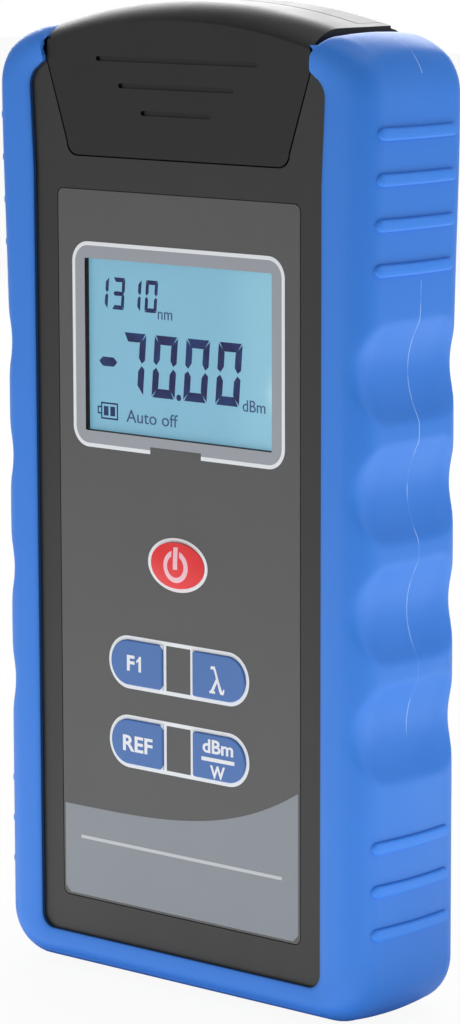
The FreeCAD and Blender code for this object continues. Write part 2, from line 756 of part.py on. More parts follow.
def screw_bosses(label, radius, front, back):
    """Four round bosses for the case screws."""
    bosses = []
    for index, (x, z) in enumerate(four_corners("screw_x", "screw_low", "screw_high"), start=1):
        bosses.append(rod(f"{label}_{index}", "y", radius, (x, front, z), f"({back}) - ({front})"))
    return bosses


def window_outline(grow):
    """The display window's outline."""
    return rounded((f"(-window_half - {grow})", f"(window_half + {grow})"),
                   (f"(window_low - {grow})", f"(window_high + {grow})"), f"(window_corner + {grow})")


def make_front_shell():
    """Front half of the case: face wall, well for the port, key holes, posts and bosses."""
    form = padded("front_form", "y", mirrored(case_half_outline("0")), "face_y", "seam_y")
    arch = crown("front_arch", "face_y", "boot_depth", "0")
    under_cap = crown("front_under_cap", "face_y", "boot_depth", "(cap_thick + cap_gap)")
    cap_block = box("cap_block", ("-crown_half", "crown_half"), ("face_y - 1", "seam_y + 1"),
                    ("cap_high - cap_corner", "beyond_top"))
    cap_room = cut("cap_room", cap_block, under_cap)
    face_room = padded("cap_face_room", "y", mirrored(cap_outline("cap_gap")),
                       "face_y - 1", "face_inside")
    side = "(case_half - case_wall)"
    cavity = padded("front_cavity", "y",
                    rounded((neg(side), side), ("case_low + case_wall", "well_under"),
                            "(case_low_corner - case_wall)"),
                    "face_inside", "boot_depth")
    tray_room = box("port_tray_room", ("-tray_half - fit_gap", "tray_half + fit_gap"),
                    ("face_inside", "seam_y + 1"),
                    ("well_under", "beyond_top"))
    panel = padded("panel_recess", "y",
                   rounded(("(-panel_half - panel_gap)", "(panel_half + panel_gap)"),
                           ("(panel_low - panel_gap)", "(panel_high + panel_gap)"), "panel_corner"),
                   "face_y - 1", "face_y + panel_thick")
    window = padded("window_recess", "y", window_outline("fit_gap"), "face_y - 1", "face_y + window_thick")
    view = box("view_opening", ("-view_half", "view_half"), ("face_y - 1", "face_inside + 1"),
               ("view_low", "view_high"))
    holes = key_holes("front_hole", "key_gap", "face_y - 1", "face_inside + 1")
    slots = arm_slots("front_slot", "(pivot_y - arm_reach - cap_gap)", "seam_y + 1")
    posts = []
    for index, (x, z) in enumerate(four_corners("post_x", "post_low", "post_high"), start=1):
        posts.append(rod(f"board_post_{index}", "y", "post_radius", (x, "face_inside - case_wall / 2", z),
                         "board_front - face_inside + case_wall / 2"))
    bosses = screw_bosses("front_boss", "boss_radius", "face_inside - case_wall / 2", "seam_y")
    shell = cut("front_hollow", shared("front_crowned", form, arch),
                cap_room, face_room, cavity, tray_room, panel, window, view, *holes)
    solid = join("front_with_posts", shell, *posts, *bosses)
    pilots = []
    for index, (x, z) in enumerate(four_corners("post_x", "post_low", "post_high"), start=1):
        pilots.append(rod(f"post_pilot_{index}", "y", "small_screw_radius + fit_gap",
                          (x, "face_inside + 1", z), "board_front - face_inside"))
    pilots += screw_bosses("boss_pilot", "screw_radius + fit_gap", "face_inside + 1", "seam_y + 1")
    sweep = cap_path("front_sweep", "well_back - 1", "seam_y + 1")
    return node(cut("front_shell", solid, *pilots, *slots, sweep))


def make_port_tray():
    """The open-topped room for the port, with an apron behind the cap's lower edge."""
    front = "(face_y + cap_thick + cap_gap)"
    across = ("-tray_half", "tray_half")
    block = box("tray_block", across, (front, "seam_y"), ("well_under", "beyond_top"))
    under_cap = crown("tray_under_cap", "face_y", "boot_depth", "(cap_thick + cap_gap)")
    well = box("port_well", ("-well_half", "well_half"), ("face_y - 1", "well_back"),
               ("well_floor", "beyond_top"))
    apron = box("tray_apron", across, (front, f"{front} + well_wall / 2"),
                ("cap_low - cap_gap - well_wall / 2", "well_floor"))
    posts, pilots = [], []
    for side, sign in (("left", "-"), ("right", "")):
        posts.append(rod(f"detector_post_{side}", "z", "post_radius",
                         (f"{sign}(detector_board_half - post_radius)", "port_y", "can_low - fit_gap"),
                         "can_height + well_base / 2 + fit_gap"))
        pilots.append(rod(f"adapter_pilot_{side}", "z", "small_screw_radius + fit_gap",
                          (f"{sign}ear_x", "port_y", "well_under - 1"), "well_base + 2"))
    light = rod("light_bore_hole", "z", "light_bore", ("0", "port_y", "well_under - 1"), "well_base + 2")
    sweep = cap_path("tray_sweep", "well_back - 1", "seam_y + 1")
    hollow = cut("tray_hollow", shared("tray_crowned", block, under_cap), well)
    whole = join("tray_with_posts", hollow, apron, *posts)
    return node(cut("port_tray", whole, light, sweep, *pilots))


def make_rear_shell():
    """Rear half of the case: back wall, battery bay, screw tubes and the hinge's cheeks."""
    form = padded("rear_form", "y", mirrored(case_half_outline("0")), "seam_y", "back_y")
    arch = crown("rear_arch", "(-boot_depth)", "back_y", "0")
    side = "(case_half - case_wall)"
    cavity = padded("rear_cavity", "y",
                    rounded((neg(side), side), ("case_low + case_wall", "(slot_floor - case_wall)"),
                            "(case_low_corner - case_wall)"),
                    "seam_y - 1", "back_inside")
    nape = box("rear_nape_room", ("-arm_inner + cap_gap + case_wall", "arm_inner - cap_gap - case_wall"),
               ("seam_y - 1", "back_inside"),
               ("slot_floor - 2 * case_wall", "pivot_z + knuckle_radius / 2"))
    hollow = cut("rear_hollow", shared("rear_crowned", form, arch), cavity, nape)
    bay = box("bay_block", ("-bay_half - bay_wall", "bay_half + bay_wall"),
              ("bay_front - bay_wall", "back_y"),
              ("bay_low - bay_wall", "bay_high + bay_wall"))
    tubes = screw_bosses("rear_tube", "boss_radius", "seam_y", "back_y")
    solid = join("rear_with_bay", hollow, bay, *tubes)
    room = box("bay_room", ("-bay_half", "bay_half"), ("bay_front", "boot_depth"), ("bay_low", "bay_high"))
    door = padded("door_recess", "y", door_outline("door_gap"), "back_y - door_thick", "boot_depth")
    bores = screw_bosses("screw_bore", "screw_radius + fit_gap", "seam_y - 1", "boot_depth")
    heads = screw_bosses("head_bore", "screw_head_radius + fit_gap", "back_y - screw_head - fit_gap",
                         "boot_depth")
    slots = arm_slots("rear_slot", "seam_y - 1", "boot_depth")
    sweep = cap_path("rear_sweep", "seam_y - 1", "pivot_y")
    pins = [pin_rod("pin_seat_left", "-", "fit_gap / 5"), pin_rod("pin_seat_right", "", "fit_gap / 5")]
    return node(cut("rear_shell", solid, room, door, *bores, *heads, *slots, sweep, *pins))


def pin_rod(label, sign, grow):
    """A hinge pin, or with some growth the hole that it sits in."""
    start = f"{sign}pin_middle - pin_length / 2"
    return rod(label, "x", f"pivot_radius + {grow}", (start, "pivot_y", "pivot_z"), "pin_length")


# ---------------------------------------------------------------- dust cap

def make_cap():
    """The hinged cap: face plate, arched top, grip grooves and two arms to the hinge."""
    block = padded("cap_form", "y", mirrored(cap_outline("0")), "face_y", "pivot_y")
    outer = crown("cap_outer", "face_y", "boot_depth", "0")
    room = padded("cap_inside_form", "y", mirrored(cap_outline("cap_thick")), "face_y + cap_thick",
                  "boot_depth")
    inner = crown("cap_inner", "face_y", "boot_depth", "cap_thick")
    hollow = shared("cap_hollow", room, inner)
    sweep = hinge_sweep("cap_sweep", "cap_gap / 2")
    plate = cut("cap_plate", shared("cap_block_crowned", block, outer), hollow, sweep)
    arm = [
        bend("pivot_y", "pivot_z - knuckle_radius", "knuckle_radius"),
        line("pivot_y", "pivot_z + knuckle_radius"),
        line("pivot_y - arm_reach", "pivot_z + knuckle_radius"),
        line("pivot_y - arm_reach", "pivot_z + arm_root"),
    ]
    arms = [
        padded("arm_left", "x", arm, "-arm_inner - arm_thick", "-arm_inner"),
        padded("arm_right", "x", arm, "arm_inner", "arm_inner + arm_thick"),
    ]
    grooves = []
    for index in range(3):
        half = f"(groove_half - {index} * groove_step)"
        height = f"(cap_high - {index} * groove_pitch)"
        end = "(groove_width / 2)"
        outline = [
            line(f"-{half} + {end}", f"{height} - {end}"),
            bend(f"{half} - {end}", f"{height} - {end}", end),
            line(f"{half} - {end}", f"{height} + {end}"),
            bend(f"-{half} + {end}", f"{height} + {end}", end),
        ]
        grooves.append(padded(f"grip_groove_{index + 1}", "y", outline, "face_y - 1",
                              "face_y + groove_depth"))
    trimmed = shared("cap_arms", join("cap_arm_pair", *arms),
                     crown("arm_crown", "face_y", "boot_depth", "0"))
    whole = join("cap_with_arms", plate, trimmed)
    bores = [pin_rod("cap_bore_left", "-", "pivot_play"), pin_rod("cap_bore_right", "", "pivot_play")]
    return node(cut("dust_cap", whole, *grooves, *bores))


# ---------------------------------------------------------------- face pieces

def make_panel():
    """The printed panel, a sheet with openings for the window and the keys."""
    sheet_body = padded("panel_sheet", "y",
                        rounded(("-panel_half", "panel_half"), ("panel_low", "panel_high"),
                                "(panel_corner - panel_gap)"),
                        "face_y", "face_y + panel_thick")
    window = padded("panel_window", "y", window_outline("fit_gap"), "face_y - 1", "face_y + 1")
    return node(cut("panel_overlay", sheet_body, window,
                    *key_holes("panel_hole", "key_gap", "face_y - 1", "face_y + 1")))


def make_display():
    """Clear window, display glass, its light guide frame."""
    node(padded("display_window", "y", window_outline("0"), "face_y", "face_y + window_thick - fit_gap"))
    across = ("-view_half - glass_margin", "view_half + glass_margin")
    upright = ("view_low - glass_margin", "view_high + glass_margin")
    front = "face_inside + glass_gap"
    pane = box("glass_pane", across, (front, f"{front} + glass_thick"), upright)
    step = box("glass_step", ("-view_half + glass_gap", "view_half - glass_gap"),
               ("face_y + window_thick", f"{front} + glass_thick / 2"),
               ("view_low + glass_gap", "view_high - glass_gap"))
    node(join("display_glass", pane, step))
    frame = box("light_guide", ("-view_half - 2 * glass_margin", "view_half + 2 * glass_margin"),
                (f"{front} + glass_thick", "board_front"), upright)
    node(frame)


# ---------------------------------------------------------------- electronics

def make_board():
    """Main board with the holes for its four screws."""
    back = "board_rear"
    sheet_body = box("board_sheet", ("-board_half", "board_half"), ("board_front", back),
                     ("board_low", "board_high"))
    holes = []
    for index, (x, z) in enumerate(four_corners("post_x", "post_low", "post_high"), start=1):
        holes.append(rod(f"board_hole_{index}", "y", "small_screw_radius + fit_gap",
                         (x, "board_front - 1", z),
                         "board_thick + 2"))
    node(cut("main_board", sheet_body, *holes))
    screws = []
    for index, (x, z) in enumerate(four_corners("post_x", "post_low", "post_high"), start=1):
        head = rod(f"board_screw_head_{index}", "y", "small_head_radius", (x, back, z), "small_head")
        shank = rod(f"board_screw_shank_{index}", "y", "small_screw_radius",
                    (x, "face_inside + 2", z), f"{back} - face_inside - 2")
        screws += [head, shank]
    node(join("board_screws", *screws))


def make_switches():
    """Five push switches on the board, one behind each key."""
    parts = []
    for key, (outline, x, z) in KEYS.items():
        half = "switch_side / 2"
        parts.append(box(f"{key}_switch", (f"{x} - {half}", f"{x} + {half}"),
                         ("board_front - switch_body", "board_front"), (f"{z} - {half}", f"{z} + {half}")))
        parts.append(rod(f"{key}_button", "y", "switch_stem_radius", (x, "switch_top", z), "switch_stem"))
    node(join("key_switches", *parts))


def make_chips():
    """Processor, amplifier and display driver on the back of the board."""
    top = "board_rear + chip_thick"
    chips = [
        box("processor", ("-chip_side", "chip_side"), ("board_rear", top),
            ("post_high - chip_side / 2", "post_high + 3 * chip_side / 2")),
        box("amplifier", ("-3 * chip_side", "-2 * chip_side"), ("board_rear", top),
            ("view_high - 2 * chip_side", "view_high - chip_side")),
        box("converter", ("2 * chip_side", "3 * chip_side"), ("board_rear", top),
            ("view_high - 2 * chip_side", "view_high - chip_side")),
        box("flat_cable_socket", ("-cable_half - case_wall / 2", "cable_half + case_wall / 2"),
            ("board_rear", "socket_rear"), ("board_high - socket_height", "board_high")),
    ]
    node(join("board_chips", *chips))


# ---------------------------------------------------------------- optical port

def make_port():
    """Threaded adapter with a ferrule sleeve over a detector can on its own small board."""
    body = new_body("adapter_turned")
    cup = "barrel_top - barrel_depth"
    collar = "barrel_top - flange_thick / 2"
    spun_body = body.newObject("PartDesign::Revolution", "adapter_profile")
    drawing = sketch(body, "adapter_outline", "YZ_Plane", "0", [
        line("sleeve_radius + fit_gap", "well_floor"),
        line("flange_radius", "well_floor"),
        line("flange_radius", "flange_top"),
        line("barrel_radius", "flange_top"),
        line("barrel_radius", "barrel_top"),
        line("barrel_bore", "barrel_top"),
        line("barrel_bore", cup),
        line("collar_radius", cup),
        line("collar_radius", collar),
        line("sleeve_radius + fit_gap", collar),
    ])
    spun_body.Profile = drawing
    spun_body.ReferenceAxis = (drawing, ["V_Axis"])
    spun_body.Angle = 360
    bind(body, Placement__Base__y="port_y")
    keyway = box("adapter_keyway", ("-keyway_width / 2", "keyway_width / 2"),
                 ("port_y - barrel_radius - 1", "port_y - (barrel_bore + collar_radius) / 2"),
                 ("barrel_top - keyway_depth", "barrel_top + keyway_depth"))
    notches = []
    for sign in ("-", ""):
        notches.append(rod(f"flange_notch{'_left' if sign else '_right'}", "z",
                           "small_screw_radius + fit_gap",
                           (f"{sign}ear_x", "port_y", "well_floor - 1"), "flange_thick + 2"))
    ears = box("adapter_ears", ("-ear_x - small_head_radius", "ear_x + small_head_radius"),
               ("port_y - small_head_radius", "port_y + small_head_radius"), ("well_floor", "ear_top"))
    ear_bore = rod("ear_bore", "z", "collar_radius", ("0", "port_y", "well_floor - 1"), "flange_thick + 2")
    eared = join("adapter_eared", body, cut("adapter_ear_pair", ears, ear_bore))
    node(cut("port_adapter", eared, keyway, *notches))
    sleeve_low = "barrel_top - flange_thick - sleeve_length"
    sleeve = rod("sleeve_outside", "z", "sleeve_radius", ("0", "port_y", sleeve_low), "sleeve_length")
    bore = rod("sleeve_bore", "z", "ferrule_radius", ("0", "port_y", f"{sleeve_low} - 1"),
               "sleeve_length + 2")
    node(cut("ferrule_sleeve", sleeve, bore))
    screws = []
    for sign in ("-", ""):
        x = f"{sign}ear_x"
        side = "left" if sign else "right"
        screws.append(rod(f"adapter_head_{side}", "z", "small_head_radius", (x, "port_y", "ear_top"),
                          "small_head"))
        screws.append(rod(f"adapter_shank_{side}", "z", "small_screw_radius", (x, "port_y", "well_under"),
                          "well_base + flange_thick"))
    node(join("adapter_screws", *screws))
    can = rod("can_shell", "z", "can_radius", ("0", "port_y", "can_low"), "can_height - fit_gap")
    rim = rod("can_base", "z", "can_radius + can_rim", ("0", "port_y", "can_low"), "can_rim")
    seat = rod("can_lens_seat", "z", "can_lens_radius", ("0", "port_y", "well_under - can_rim"), "can_rim")
    node(cut("detector_can", join("can_closed", can, rim), seat))
    node(rod("detector_window", "z", "can_lens_radius", ("0", "port_y", "well_under - can_rim"),
             "can_rim - fit_gap"))
    node(box("detector_board", ("-detector_board_half", "detector_board_half"),
             ("port_y - can_radius - can_rim", "port_y + can_radius + can_rim"),
             ("can_low - detector_board_thick", "can_low - fit_gap")))
    node(box("flat_cable", ("-cable_half", "cable_half"), ("socket_rear", "socket_rear + cable_thick"),
             ("board_high - socket_height + socket_thick / 4", "can_low - detector_board_thick")))
    return body


# ---------------------------------------------------------------- battery

def cell_places():
    """Middle of each cell across the bay."""
    return ["-cell_pitch / 2", "cell_pitch / 2"]


def make_battery():
    """Two round cells side by side, with a spring at the foot and a plate at the head of each."""
    cells, springs, plates = [], [], []
    for index, x in enumerate(cell_places(), start=1):
        cells.append(rod(f"cell_can_{index}", "z", "cell_radius", (x, "cell_y", "cell_low"), "cell_length"))
        cells.append(rod(f"cell_nose_{index}", "z", "cell_nose_radius",
                         (x, "cell_y", "cell_low + cell_length"), "cell_nose"))
        plate_half = "spring_radius + 1"
        springs.append(box(f"spring_plate_{index}", (f"{x} - {plate_half}", f"{x} + {plate_half}"),
                           (f"cell_y - {plate_half}", f"cell_y + {plate_half}"),
                           ("bay_low", "bay_low + contact_thick")))
        coil = doc.addObject("Part::Cone", f"spring_coil_{index}")
        bind(coil, Radius1="spring_radius", Radius2="spring_radius * 0.6", Height="spring_length - fit_gap")
        bind(coil, Placement__Base__x=x, Placement__Base__y="cell_y",
             Placement__Base__z="bay_low + contact_thick")
        springs.append(coil)
        head = "cell_top + fit_gap"
        plates.append(box(f"contact_plate_{index}", (f"{x} - {plate_half}", f"{x} + {plate_half}"),
                          (f"cell_y - {plate_half}", f"cell_y + {plate_half}"), (head, "bay_high")))
    node(join("battery_cells", *cells))
    node(join("contact_springs", *springs))
    node(join("contact_plates", *plates))


def door_outline(grow):
    """The battery door's outline."""
    return rounded((f"(-bay_half - door_margin - {grow})", f"(bay_half + door_margin + {grow})"),
                   (f"(bay_low - door_margin - {grow})", f"(bay_high + door_margin + {grow})"),
                   f"(door_corner + {grow})")


def make_door():
    """The battery door: a plate with a thumb groove and a rim that drops into the bay."""
    plate = padded("door_plate", "y", door_outline("0"), "back_y - door_thick", "back_y")
    groove = rod("door_groove", "x", "groove_width", ("-cell_radius", "back_y", "bay_high - door_margin"),
                 "2 * cell_radius")
    node(cut("battery_door", plate, groove))


def make_screws():
    """Four case screws from the back."""
    parts = []
    for index, (x, z) in enumerate(four_corners("screw_x", "screw_low", "screw_high"), start=1):
        parts.append(rod(f"case_screw_head_{index}", "y", "screw_head_radius",
                         (x, "back_y - screw_head", z), "screw_head"))
        parts.append(rod(f"case_screw_shank_{index}", "y", "screw_radius",
                         (x, "back_y - screw_head - screw_length", z),
                         "screw_length"))
    node(join("case_screws", *parts))


# ---------------------------------------------------------------- assembly

make_front_shell()
make_port_tray()
make_rear_shell()
make_boot()
make_panel()
make_display()
make_board()
make_switches()
make_chips()
make_port()
make_battery()
make_door()
make_screws()
node(join("hinge_pins", pin_rod("pin_left", "-", "0"), pin_rod("pin_right", "", "0")))
make_cap()
for key_label in KEYS:
    make_key(key_label)

doc.recompute()

failed = [thing.Label for thing in doc.Objects if "Invalid" in thing.State or "Error" in thing.State]
failed += [thing.Label for thing in NODES if thing.Shape.isNull() or not thing.Shape.isValid()]
if failed:
    raise RuntimeError(f"these failed: {failed}")

os.makedirs("parts", exist_ok=True)
for thing in NODES:
    thing.Shape.exportStep(f"parts/{thing.Label}.step")
    print(thing.Label, len(thing.Shape.Solids), round(thing.Shape.Volume, 1))
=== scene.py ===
import math

import bmesh
import bpy
from mathutils import Matrix, Vector


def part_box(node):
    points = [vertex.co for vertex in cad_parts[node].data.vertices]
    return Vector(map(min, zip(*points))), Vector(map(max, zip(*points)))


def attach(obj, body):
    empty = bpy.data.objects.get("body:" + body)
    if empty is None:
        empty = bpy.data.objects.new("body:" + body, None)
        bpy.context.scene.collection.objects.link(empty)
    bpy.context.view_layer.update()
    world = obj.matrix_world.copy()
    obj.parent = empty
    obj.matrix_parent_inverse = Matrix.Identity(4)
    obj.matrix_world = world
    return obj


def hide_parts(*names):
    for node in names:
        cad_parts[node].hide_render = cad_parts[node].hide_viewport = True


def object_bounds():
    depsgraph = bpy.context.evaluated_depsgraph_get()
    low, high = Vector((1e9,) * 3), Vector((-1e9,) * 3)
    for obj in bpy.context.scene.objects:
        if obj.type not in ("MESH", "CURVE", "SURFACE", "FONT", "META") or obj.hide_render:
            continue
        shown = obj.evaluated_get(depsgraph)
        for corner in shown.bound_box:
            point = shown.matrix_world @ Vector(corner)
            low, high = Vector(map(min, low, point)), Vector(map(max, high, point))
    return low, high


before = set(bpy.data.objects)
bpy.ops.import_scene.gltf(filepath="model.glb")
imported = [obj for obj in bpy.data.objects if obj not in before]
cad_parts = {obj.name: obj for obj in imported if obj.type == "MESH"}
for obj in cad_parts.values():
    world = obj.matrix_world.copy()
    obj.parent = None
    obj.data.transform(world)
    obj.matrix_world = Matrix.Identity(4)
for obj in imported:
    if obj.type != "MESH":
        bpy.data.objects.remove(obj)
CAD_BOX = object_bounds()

bl_info = {
    "name": "Optical power meter",
    "version": (1, 0, 0),
    "blender": (4, 5, 0),
    "location": "View3D > Sidebar > Meter",
    "description": "Dresses a handheld optical power meter in its rubber boot, prints, display and finishes",
    "category": "Add Mesh",
}

MM = 0.001
BOOT_LOW, BOOT_HIGH = (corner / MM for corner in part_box("rubber_boot"))
WINDOW_LOW, WINDOW_HIGH = (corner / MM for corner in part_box("display_window"))
PANEL_LOW, PANEL_HIGH = (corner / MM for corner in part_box("panel_overlay"))
FACE = PANEL_LOW.y
GLASS_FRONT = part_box("display_glass")[0].y / MM
FILM = 0.05
SIGN_FILM = 0.015


def ink(red, green, blue):
    """Linear colour from the 0 to 255 values that a paint chart gives."""
    def linear(value):
        """One channel, straightened."""
        value /= 255
        return value / 12.92 if value <= 0.04045 else ((value + 0.055) / 1.055) ** 2.4
    return (linear(red), linear(green), linear(blue))


def shade(colour, factor):
    """A colour made darker or lighter."""
    return [value * factor for value in colour]


# ---------------------------------------------------------------- finishes

class Value:
    """A number inside a material; arithmetic on it adds the nodes that work it out."""

    def __init__(self, finish, socket):
        self.finish = finish
        self.socket = socket

    def maths(self, operation, *numbers):
        """A value worked out from the numbers given."""
        return self.finish.node("ShaderNodeMath", {"operation": operation}, numbers)

    def __add__(self, other):
        return self.maths("ADD", self, other)

    def __sub__(self, other):
        return self.maths("SUBTRACT", self, other)

    def __rsub__(self, other):
        return self.maths("SUBTRACT", other, self)

    def __mul__(self, other):
        return self.maths("MULTIPLY", self, other)

    def __truediv__(self, other):
        return self.maths("DIVIDE", self, other)

    def __pow__(self, other):
        return self.maths("POWER", self, other)

    def __gt__(self, other):
        return self.maths("GREATER_THAN", self, other)

    def __lt__(self, other):
        return self.maths("LESS_THAN", self, other)

    def __abs__(self):
        return self.maths("ABSOLUTE", self)

    __radd__ = __add__
    __rmul__ = __mul__


class Finish:
    """One material: a Principled shader with the nodes that vary it."""

    def __init__(self, name, colour, roughness, **fixed):
        self.material = bpy.data.materials.new(name)
        self.material.use_nodes = True
        self.tree = self.material.node_tree
        self.shader = self.tree.nodes["Principled BSDF"]
        self.colour = (*colour, 1)
        self.fill(self.shader.inputs["Base Color"], self.colour)
        self.fill(self.shader.inputs["Roughness"], roughness)
        for words, value in fixed.items():
            self.fill(self.shader.inputs[words.replace("_", " ")], value)
        self.place = self.node("ShaderNodeTexCoord", output="Object")

    def fill(self, socket, value):
        """Links a value to a socket or sets the number there."""
        if isinstance(value, Value):
            self.tree.links.new(value.socket, socket)
        else:
            socket.default_value = value

    def node(self, kind, settings=None, sockets=(), output=0):
        """Adds a node, sets it up, and fills its sockets by place or by name."""
        made = self.tree.nodes.new(kind)
        for name, value in (settings or {}).items():
            setattr(made, name, value)
        filled = sockets.items() if isinstance(sockets, dict) else enumerate(sockets)
        for place, value in filled:
            self.fill(made.inputs[place], value)
        return Value(self, made.outputs[output])

    def axis(self, index):
        """One object coordinate, in millimetres."""
        return self.node("ShaderNodeSeparateXYZ", sockets=(self.place,), output=index) * (1 / MM)

    def noise(self, size, detail=2.0):
        """Soft noise whose features are about that many millimetres wide."""
        return self.node("ShaderNodeTexNoise", sockets={
            "Vector": self.place, "Scale": 1 / (size * MM), "Detail": detail})

    def ramp(self, value, low, high):
        """0 at the low value and 1 at the high one, eased at both ends."""
        return self.node("ShaderNodeMapRange", {"interpolation_type": "SMOOTHSTEP"}, (value, low, high))

    def mix(self, factor, first, second):
        """Blends two colours."""
        colours = [value if isinstance(value, Value) else (*value[:3], 1) for value in (first, second)]
        return self.node("ShaderNodeMix", {"data_type": "RGBA"}, {0: factor, 6: colours[0], 7: colours[1]},
                         2)

    def set(self, name, value):
        """Gives the shader's own socket a value."""
        self.fill(self.shader.inputs[name], value)

    def bump(self, height, depth):
        """Relief of a depth in millimetres."""
        self.set("Normal", self.node("ShaderNodeBump", sockets={
            "Height": height, "Distance": depth * MM, "Strength": 1.0}))

    def dust(self, size, density):
        """A mask of a few tiny specks."""
        settings = {"feature": "F1"}
        sockets = {"Vector": self.place, "Scale": 1 / (size * MM)}
        near = self.node("ShaderNodeTexVoronoi", settings, sockets, "Distance")
        chance = self.node("ShaderNodeTexVoronoi", settings, sockets, "Color")
        red = self.node("ShaderNodeSeparateColor", sockets=(chance,))
        return (near < 0.02) * (red < density)


def moulded(name, colour, roughness, grain, dusty=0.0, **fixed):
    """Moulded plastic: fine grain, slightly uneven gloss and, where asked, a little dust."""
    finish = Finish(name, colour, roughness, **fixed)
    uneven = finish.noise(9.0)
    finish.set("Roughness", roughness - 0.05 + 0.1 * uneven)
    tone = finish.mix(0.12 * finish.noise(22.0), finish.colour, [value * 1.5 + 0.004 for value in colour])
    if dusty:
        tone = finish.mix(finish.dust(2.6, dusty) * 0.45, tone, (0.55, 0.55, 0.55))
    finish.set("Base Color", tone)
    finish.bump(finish.noise(grain, 3.0), 0.02)
    return finish


def metal(name, colour, roughness, lay):
    """Plated or plain metal with fine machining marks along one axis."""
    finish = Finish(name, colour, roughness, Metallic=1.0)
    marks = finish.node("ShaderNodeTexNoise", sockets={
        "Vector": finish.node("ShaderNodeMapping", sockets={"Vector": finish.place, "Scale": lay}),
        "Scale": 900.0, "Detail": 2.0})
    finish.set("Roughness", roughness - 0.08 + 0.2 * marks)
    finish.bump(marks, 0.01)
    return finish


def wear(node, finish):
    """Gives a CAD node its finish."""
    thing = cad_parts[node]
    for place in thing.material_slots:
        place.material = finish.material
    if not thing.material_slots:
        thing.data.materials.append(finish.material)


# ---------------------------------------------------------------- forms

def piece(mesh, name, finish, body, sharp=35.0):
    """Makes a bmesh in millimetres a finished object that rides on a body; sharp is in degrees."""
    bmesh.ops.remove_doubles(mesh, verts=mesh.verts, dist=1e-4)
    bmesh.ops.recalc_face_normals(mesh, faces=mesh.faces)
    for face in mesh.faces:
        face.smooth = True
    for edge in mesh.edges:
        edge.smooth = len(edge.link_faces) == 2 and edge.calc_face_angle(0.0) < math.radians(sharp)
    bmesh.ops.scale(mesh, vec=(MM, MM, MM), verts=mesh.verts)
    data = bpy.data.meshes.new(name)
    mesh.to_mesh(data)
    mesh.free()
    data.materials.append(finish.material)
    thing = bpy.data.objects.new(name, data)
    bpy.context.scene.collection.objects.link(thing)
    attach(thing, body)
    return thing


def plate(mesh, x, z, corner, y, segments=8):
    """A rounded rectangle that faces the front, at a depth."""
    turn = Matrix.Rotation(math.radians(90), 4, "X")
    verts = bmesh.ops.create_grid(mesh, x_segments=1, y_segments=1, size=0.5, matrix=turn)["verts"]
    bmesh.ops.scale(mesh, vec=(x[1] - x[0], 1, z[1] - z[0]), verts=verts)
    bmesh.ops.translate(mesh, vec=((x[0] + x[1]) / 2, y, (z[0] + z[1]) / 2), verts=verts)
    if corner:
        limit = min(x[1] - x[0], z[1] - z[0]) / 2 - 0.001
        bmesh.ops.bevel(mesh, geom=verts, offset=min(corner, limit), affect="VERTICES",
                        segments=segments, profile=0.5, material=-1)


def largest(mesh):
    """The face that covers most."""
    return max(mesh.faces, key=lambda one: one.calc_area())


def oval(mesh, centre, radii, y, segments=64):
    """An oval disc that faces the front, at a depth."""
    turn = Matrix.Rotation(math.radians(90), 4, "X")
    verts = bmesh.ops.create_circle(mesh, cap_ends=True, segments=segments, radius=1, matrix=turn)["verts"]
    bmesh.ops.scale(mesh, vec=(radii[0], 1, radii[1]), verts=verts)
    bmesh.ops.translate(mesh, vec=(centre[0], y, centre[1]), verts=verts)


def ring(mesh, width):
    """Leaves of the largest face only a band of that width along its edge."""
    face = largest(mesh)
    bmesh.ops.inset_individual(mesh, faces=[face], thickness=width, use_even_offset=True)
    bmesh.ops.delete(mesh, geom=[face], context="FACES")


def thicken(mesh, depth=FILM):
    """Gives every flat face in the mesh its thickness, towards the back."""
    made = bmesh.ops.extrude_face_region(mesh, geom=mesh.faces[:])["geom"]
    verts = [item for item in made if isinstance(item, bmesh.types.BMVert)]
    bmesh.ops.translate(mesh, vec=(0, depth, 0), verts=verts)


def gap(mesh, left, right, goes):
    """Cuts the faces at two places in X and deletes those between them whose middle height goes."""
    for x in (left, right):
        bmesh.ops.bisect_plane(mesh, geom=mesh.verts[:] + mesh.edges[:] + mesh.faces[:],
                               plane_co=(x, 0, 0), plane_no=(1, 0, 0))
    middles = {face: face.calc_center_median() for face in mesh.faces}
    gone = [face for face, middle in middles.items() if left < middle.x < right and goes(middle.z)]
    bmesh.ops.delete(mesh, geom=gone, context="FACES")


def film(mesh, name, finish, body, depth=FILM):
    """Makes flat faces a thin printed piece."""
    thicken(mesh, depth)
    piece(mesh, name, finish, body)


def stroke(mesh, corners, y):
    """A flat polygon from its corners in X and Z."""
    mesh.faces.new([mesh.verts.new((x, y, z)) for x, z in corners])


def glyph(mesh, outline, x, z, y):
    """A flat sign whose outline is given in shares of its width and height."""
    stroke(mesh, [(x[0] + (x[1] - x[0]) * across, z[0] + (z[1] - z[0]) * up) for across, up in outline], y)


